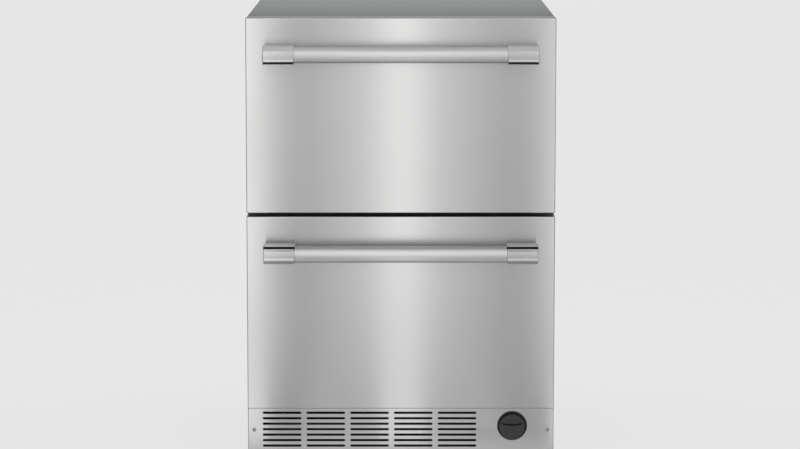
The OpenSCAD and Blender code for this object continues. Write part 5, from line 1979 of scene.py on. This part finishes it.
@dataclass
class Studio:
    """A pale floor, soft light and the camera.

    Attributes:
        background: The colour of the floor and of the sky, as grey.
        daylight: The level of the light that the sky gives.
        sky: The level at which the sky shows, at heights from 0 at the horizon to 1 overhead.
        behind: The share of that level which is left for reflections of what stands behind the unit.
        behind_from: The directions, from 0 sideways to 1 straight back, between which it falls.
        floor_glow: The share of the floor that shows the background's own colour.
        floor_mirrored: The level at which the floor shows in reflections.
        floor_half: Half the width of the floor.
        camera_place: Where the camera stands.
        camera_pitch: How far it looks down, in degrees.
        camera_lens: Its focal length, in millimetres.
        camera_film: The width of its film, in millimetres.
        face_y: The place of the drawer fronts along Y.
        strip_y: The place of the standing strips.
        strip_height: Their height.
        strip_foot: How far in front of the origin the lying strips end.
        strip_foot_share: The level of the lying strips, as a share of the standing ones.
        strips: The strips.
        top_light: The lamp over the rear of the top: its height over the floor, place along Y, width,
            depth and level.
        gleam: The lamp on the floor under the fronts: its place along Y, width, depth and level.
    """

    background: float = 0.799
    daylight: float = 0.88
    sky: tuple[tuple[float, float], ...] = ((0.0, 0.8), (0.3, 0.8), (0.62, 0.97), (0.93, 1.0), (1.0, 0.76))
    behind: float = 0.5
    behind_from: tuple[float, float] = (0.2, 0.8)
    floor_glow: float = 0.91
    floor_mirrored: float = 0.62
    floor_half: float = 30.0
    camera_place: tuple[float, float, float] = (-0.0016, -6.07, 1.2542)
    camera_pitch: float = 7.690
    camera_lens: float = 134.14
    camera_film: float = 36.0
    face_y: float = -0.27
    strip_y: float = -1.67
    strip_height: float = 2.4
    strip_foot: float = 0.42
    strip_foot_share: float = 0.52
    strips: tuple[Strip, ...] = (
        Strip(-0.314, 0.084, 6.9),
        Strip(0.002, 0.074, 5.6),
        Strip(0.0, 0.330, 1.6),
        Strip(-0.095, 0.085, 1.3),
        Strip(0.178, 0.090, 0.5),
        Strip(0.330, 0.056, 7.0),
    )
    top_light: tuple[float, float, float, float, float] = (1.376, 0.24, 1.2, 0.4, 10.5)
    gleam: tuple[float, float, float, float] = (-0.36, 0.62, 0.12, 1.3)

    def camera(self) -> None:
        """Sets the camera at the photograph's place."""
        data = bpy.data.cameras.new("camera")
        data.lens = self.camera_lens
        data.sensor_width = self.camera_film
        item = bpy.data.objects.new("camera", data)
        item.location = self.camera_place
        item.rotation_euler = (math.radians(90 - self.camera_pitch), 0.0, 0.0)
        bpy.context.scene.collection.objects.link(item)
        bpy.context.scene.camera = item

    def lamp(self, name: str, place: Sequence[float], turn: Sequence[float], size: tuple[float, float],
             level: float) -> bpy.types.Object:
        """Adds a rectangular lamp, which faces down when it isn't turned.

        Args:
            name: Its name.
            place: Where it stands.
            turn: Its angles round X, Y and Z.
            size: Its width and height.
            level: Its power in watts for each square metre.

        Returns:
            The lamp.
        """
        data = bpy.data.lights.new(name, "AREA")
        data.shape = "RECTANGLE"
        data.size, data.size_y = size
        data.energy = level * size[0] * size[1]
        item = bpy.data.objects.new(name, data)
        item.location = place
        item.rotation_euler = turn
        item.visible_camera = False
        bpy.context.scene.collection.objects.link(item)
        return item

    def strip_lamps(self, index: int, strip: Strip) -> None:
        """Sets up the standing and the lying part of a strip.

        A lamp whose reflection lies at x on the fronts stands at x · (1 + D / C): D is its distance from
        the fronts and C the camera's.

        Args:
            index: The strip's number, for the names.
            strip: The strip.
        """
        reach = self.face_y - self.camera_place[1]
        far, near = (1 + (self.face_y - y) / reach for y in (self.strip_y, -self.strip_foot))
        depth = -self.strip_foot - self.strip_y
        width = strip.width * far
        standing = self.lamp(f"strip_{index}", (strip.x * far, self.strip_y, self.strip_height / 2),
                             (math.pi / 2, 0.0, 0.0), (width, self.strip_height), strip.level)
        lying = self.lamp(f"strip_foot_{index}",
                          (strip.x * (far + near) / 2, self.strip_y + depth / 2, LAMP_HEIGHT),
                          (math.pi, 0.0, math.atan2(strip.x * (far - near), depth)), (width, depth),
                          strip.level * self.strip_foot_share)
        for item in (standing, lying):
            item.visible_diffuse = False

    def seen(self, board: NodeBoard, camera: float, mirrored: float) -> bpy.types.NodeSocket:
        """Gives one number for camera rays, one for glossy and transmitted rays and 0 for the others.

        Args:
            board: The node tree to add to.
            camera: The number for camera rays.
            mirrored: The number for glossy and transmitted rays.

        Returns:
            The socket with the result.
        """
        path = board.add("ShaderNodeLightPath")
        total: bpy.types.NodeSocket | None = None
        for name, number in (("Is Camera Ray", camera), ("Is Glossy Ray", mirrored),
                             ("Is Transmission Ray", mirrored)):
            step = board.add("ShaderNodeMath", operation="MULTIPLY_ADD")
            board.link(path.outputs[name], step.inputs[0])
            step.inputs[1].default_value = number
            step.inputs[2].default_value = 0.0
            if total is not None:
                board.link(total, step.inputs[2])
            total = step.outputs[0]
        return total

    def world(self) -> None:
        """Lights the scene evenly, and shows a pale sky whose level changes with its height.

        In reflections it gets darker towards the back.
        """
        world = bpy.data.worlds.new("studio")
        world.use_nodes = True
        board = NodeBoard(world.node_tree)
        shade = board.tree.nodes["Background"]
        split = board.add("ShaderNodeSeparateXYZ")
        board.link(board.add("ShaderNodeTexCoord").outputs["Generated"], split.inputs["Vector"])
        height = board.add("ShaderNodeValToRGB")
        board.link(split.outputs["Z"], height.inputs["Fac"])
        ramp = height.color_ramp
        while len(ramp.elements) < len(self.sky):
            ramp.elements.new(1.0)
        for stop, (place_z, shown) in zip(ramp.elements, self.sky):
            stop.position = place_z
            stop.color = (shown, shown, shown, 1.0)
        either = board.add("ShaderNodeMix")
        either.inputs[2].default_value = 1.0
        board.link(board.add("ShaderNodeLightPath").outputs["Is Glossy Ray"], either.inputs[0])
        board.link(board.spread(split.outputs["Y"], 1.0, self.behind, *self.behind_from), either.inputs[3])
        dimmed = board.add("ShaderNodeMath", operation="MULTIPLY")
        board.link(height.outputs["Color"], dimmed.inputs[0])
        board.link(either.outputs[0], dimmed.inputs[1])
        level = board.spread(self.seen(board, 1.0, 1.0), self.daylight, 1.0, 0.0, 1.0)
        board.link(dimmed.outputs[0], level.node.inputs["To Max"])
        shade.inputs["Color"].default_value = (1.0, 1.0, 1.0, 1.0)
        board.link(level, shade.inputs["Strength"])
        bpy.context.scene.world = world

    def floor(self) -> None:
        """A wide floor: partly paper that takes a shadow, partly the background's own colour."""
        half = self.floor_half
        corners = np.array([[-half, -half, 0.0], [half, -half, 0.0], [half, half, 0.0], [-half, half, 0.0]])
        mesh = bpy.data.meshes.new("floor")
        mesh.from_pydata(corners, [], [[0, 1, 2, 3]])
        material = bpy.data.materials.new("floor")
        material.use_nodes = True
        board = NodeBoard(material.node_tree)
        board.tree.nodes.clear()
        grey = (self.background, self.background, self.background, 1.0)
        paper = board.add("ShaderNodeBsdfDiffuse")
        paper.inputs["Color"].default_value = grey
        glow = board.add("ShaderNodeEmission")
        glow.inputs["Color"].default_value = grey
        board.link(self.seen(board, 1.0, self.floor_mirrored), glow.inputs["Strength"])
        mix = board.add("ShaderNodeMixShader")
        board.link(self.seen(board, self.floor_glow, self.floor_glow), mix.inputs["Fac"])
        board.link(paper.outputs["BSDF"], mix.inputs[1])
        board.link(glow.outputs["Emission"], mix.inputs[2])
        board.link(mix.outputs["Shader"], board.add("ShaderNodeOutputMaterial").inputs["Surface"])
        mesh.materials.append(material)
        floor = bpy.data.objects.new("floor", mesh)
        bpy.context.scene.collection.objects.link(floor)

    def build(self) -> None:
        """Makes the whole studio."""
        self.camera()
        self.world()
        self.floor()
        for index, strip in enumerate(self.strips):
            self.strip_lamps(index, strip)
        height, y, width, depth, level = self.top_light
        top_light = self.lamp("top_light", (0.0, y, height), (0.0, 0.0, 0.0), (width, depth), level)
        top_light.visible_glossy = False
        y, width, depth, level = self.gleam
        gleam = self.lamp("floor_gleam", (0.0, y, LAMP_HEIGHT), (math.pi, 0.0, 0.0), (width, depth), level)
        gleam.visible_diffuse = False
        bpy.context.scene.view_settings.view_transform = "Standard"


def main() -> None:
    """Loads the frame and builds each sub-assembly in order."""
    logging.basicConfig(level=logging.INFO, format="%(message)s")
    FRAME.update(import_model())
    Studio().build()
    parts = [DrawerFront(Side.UPPER), DrawerFront(Side.LOWER), Drawer(Side.UPPER), Drawer(Side.LOWER),
             BaseGrille(), Cabinet(), Cooling(), IceMaker(), Legs()]
    for part in parts:
        LOG.info("building %s", type(part).__name__)
        part.build()


if __name__ == "__main__":
    main()
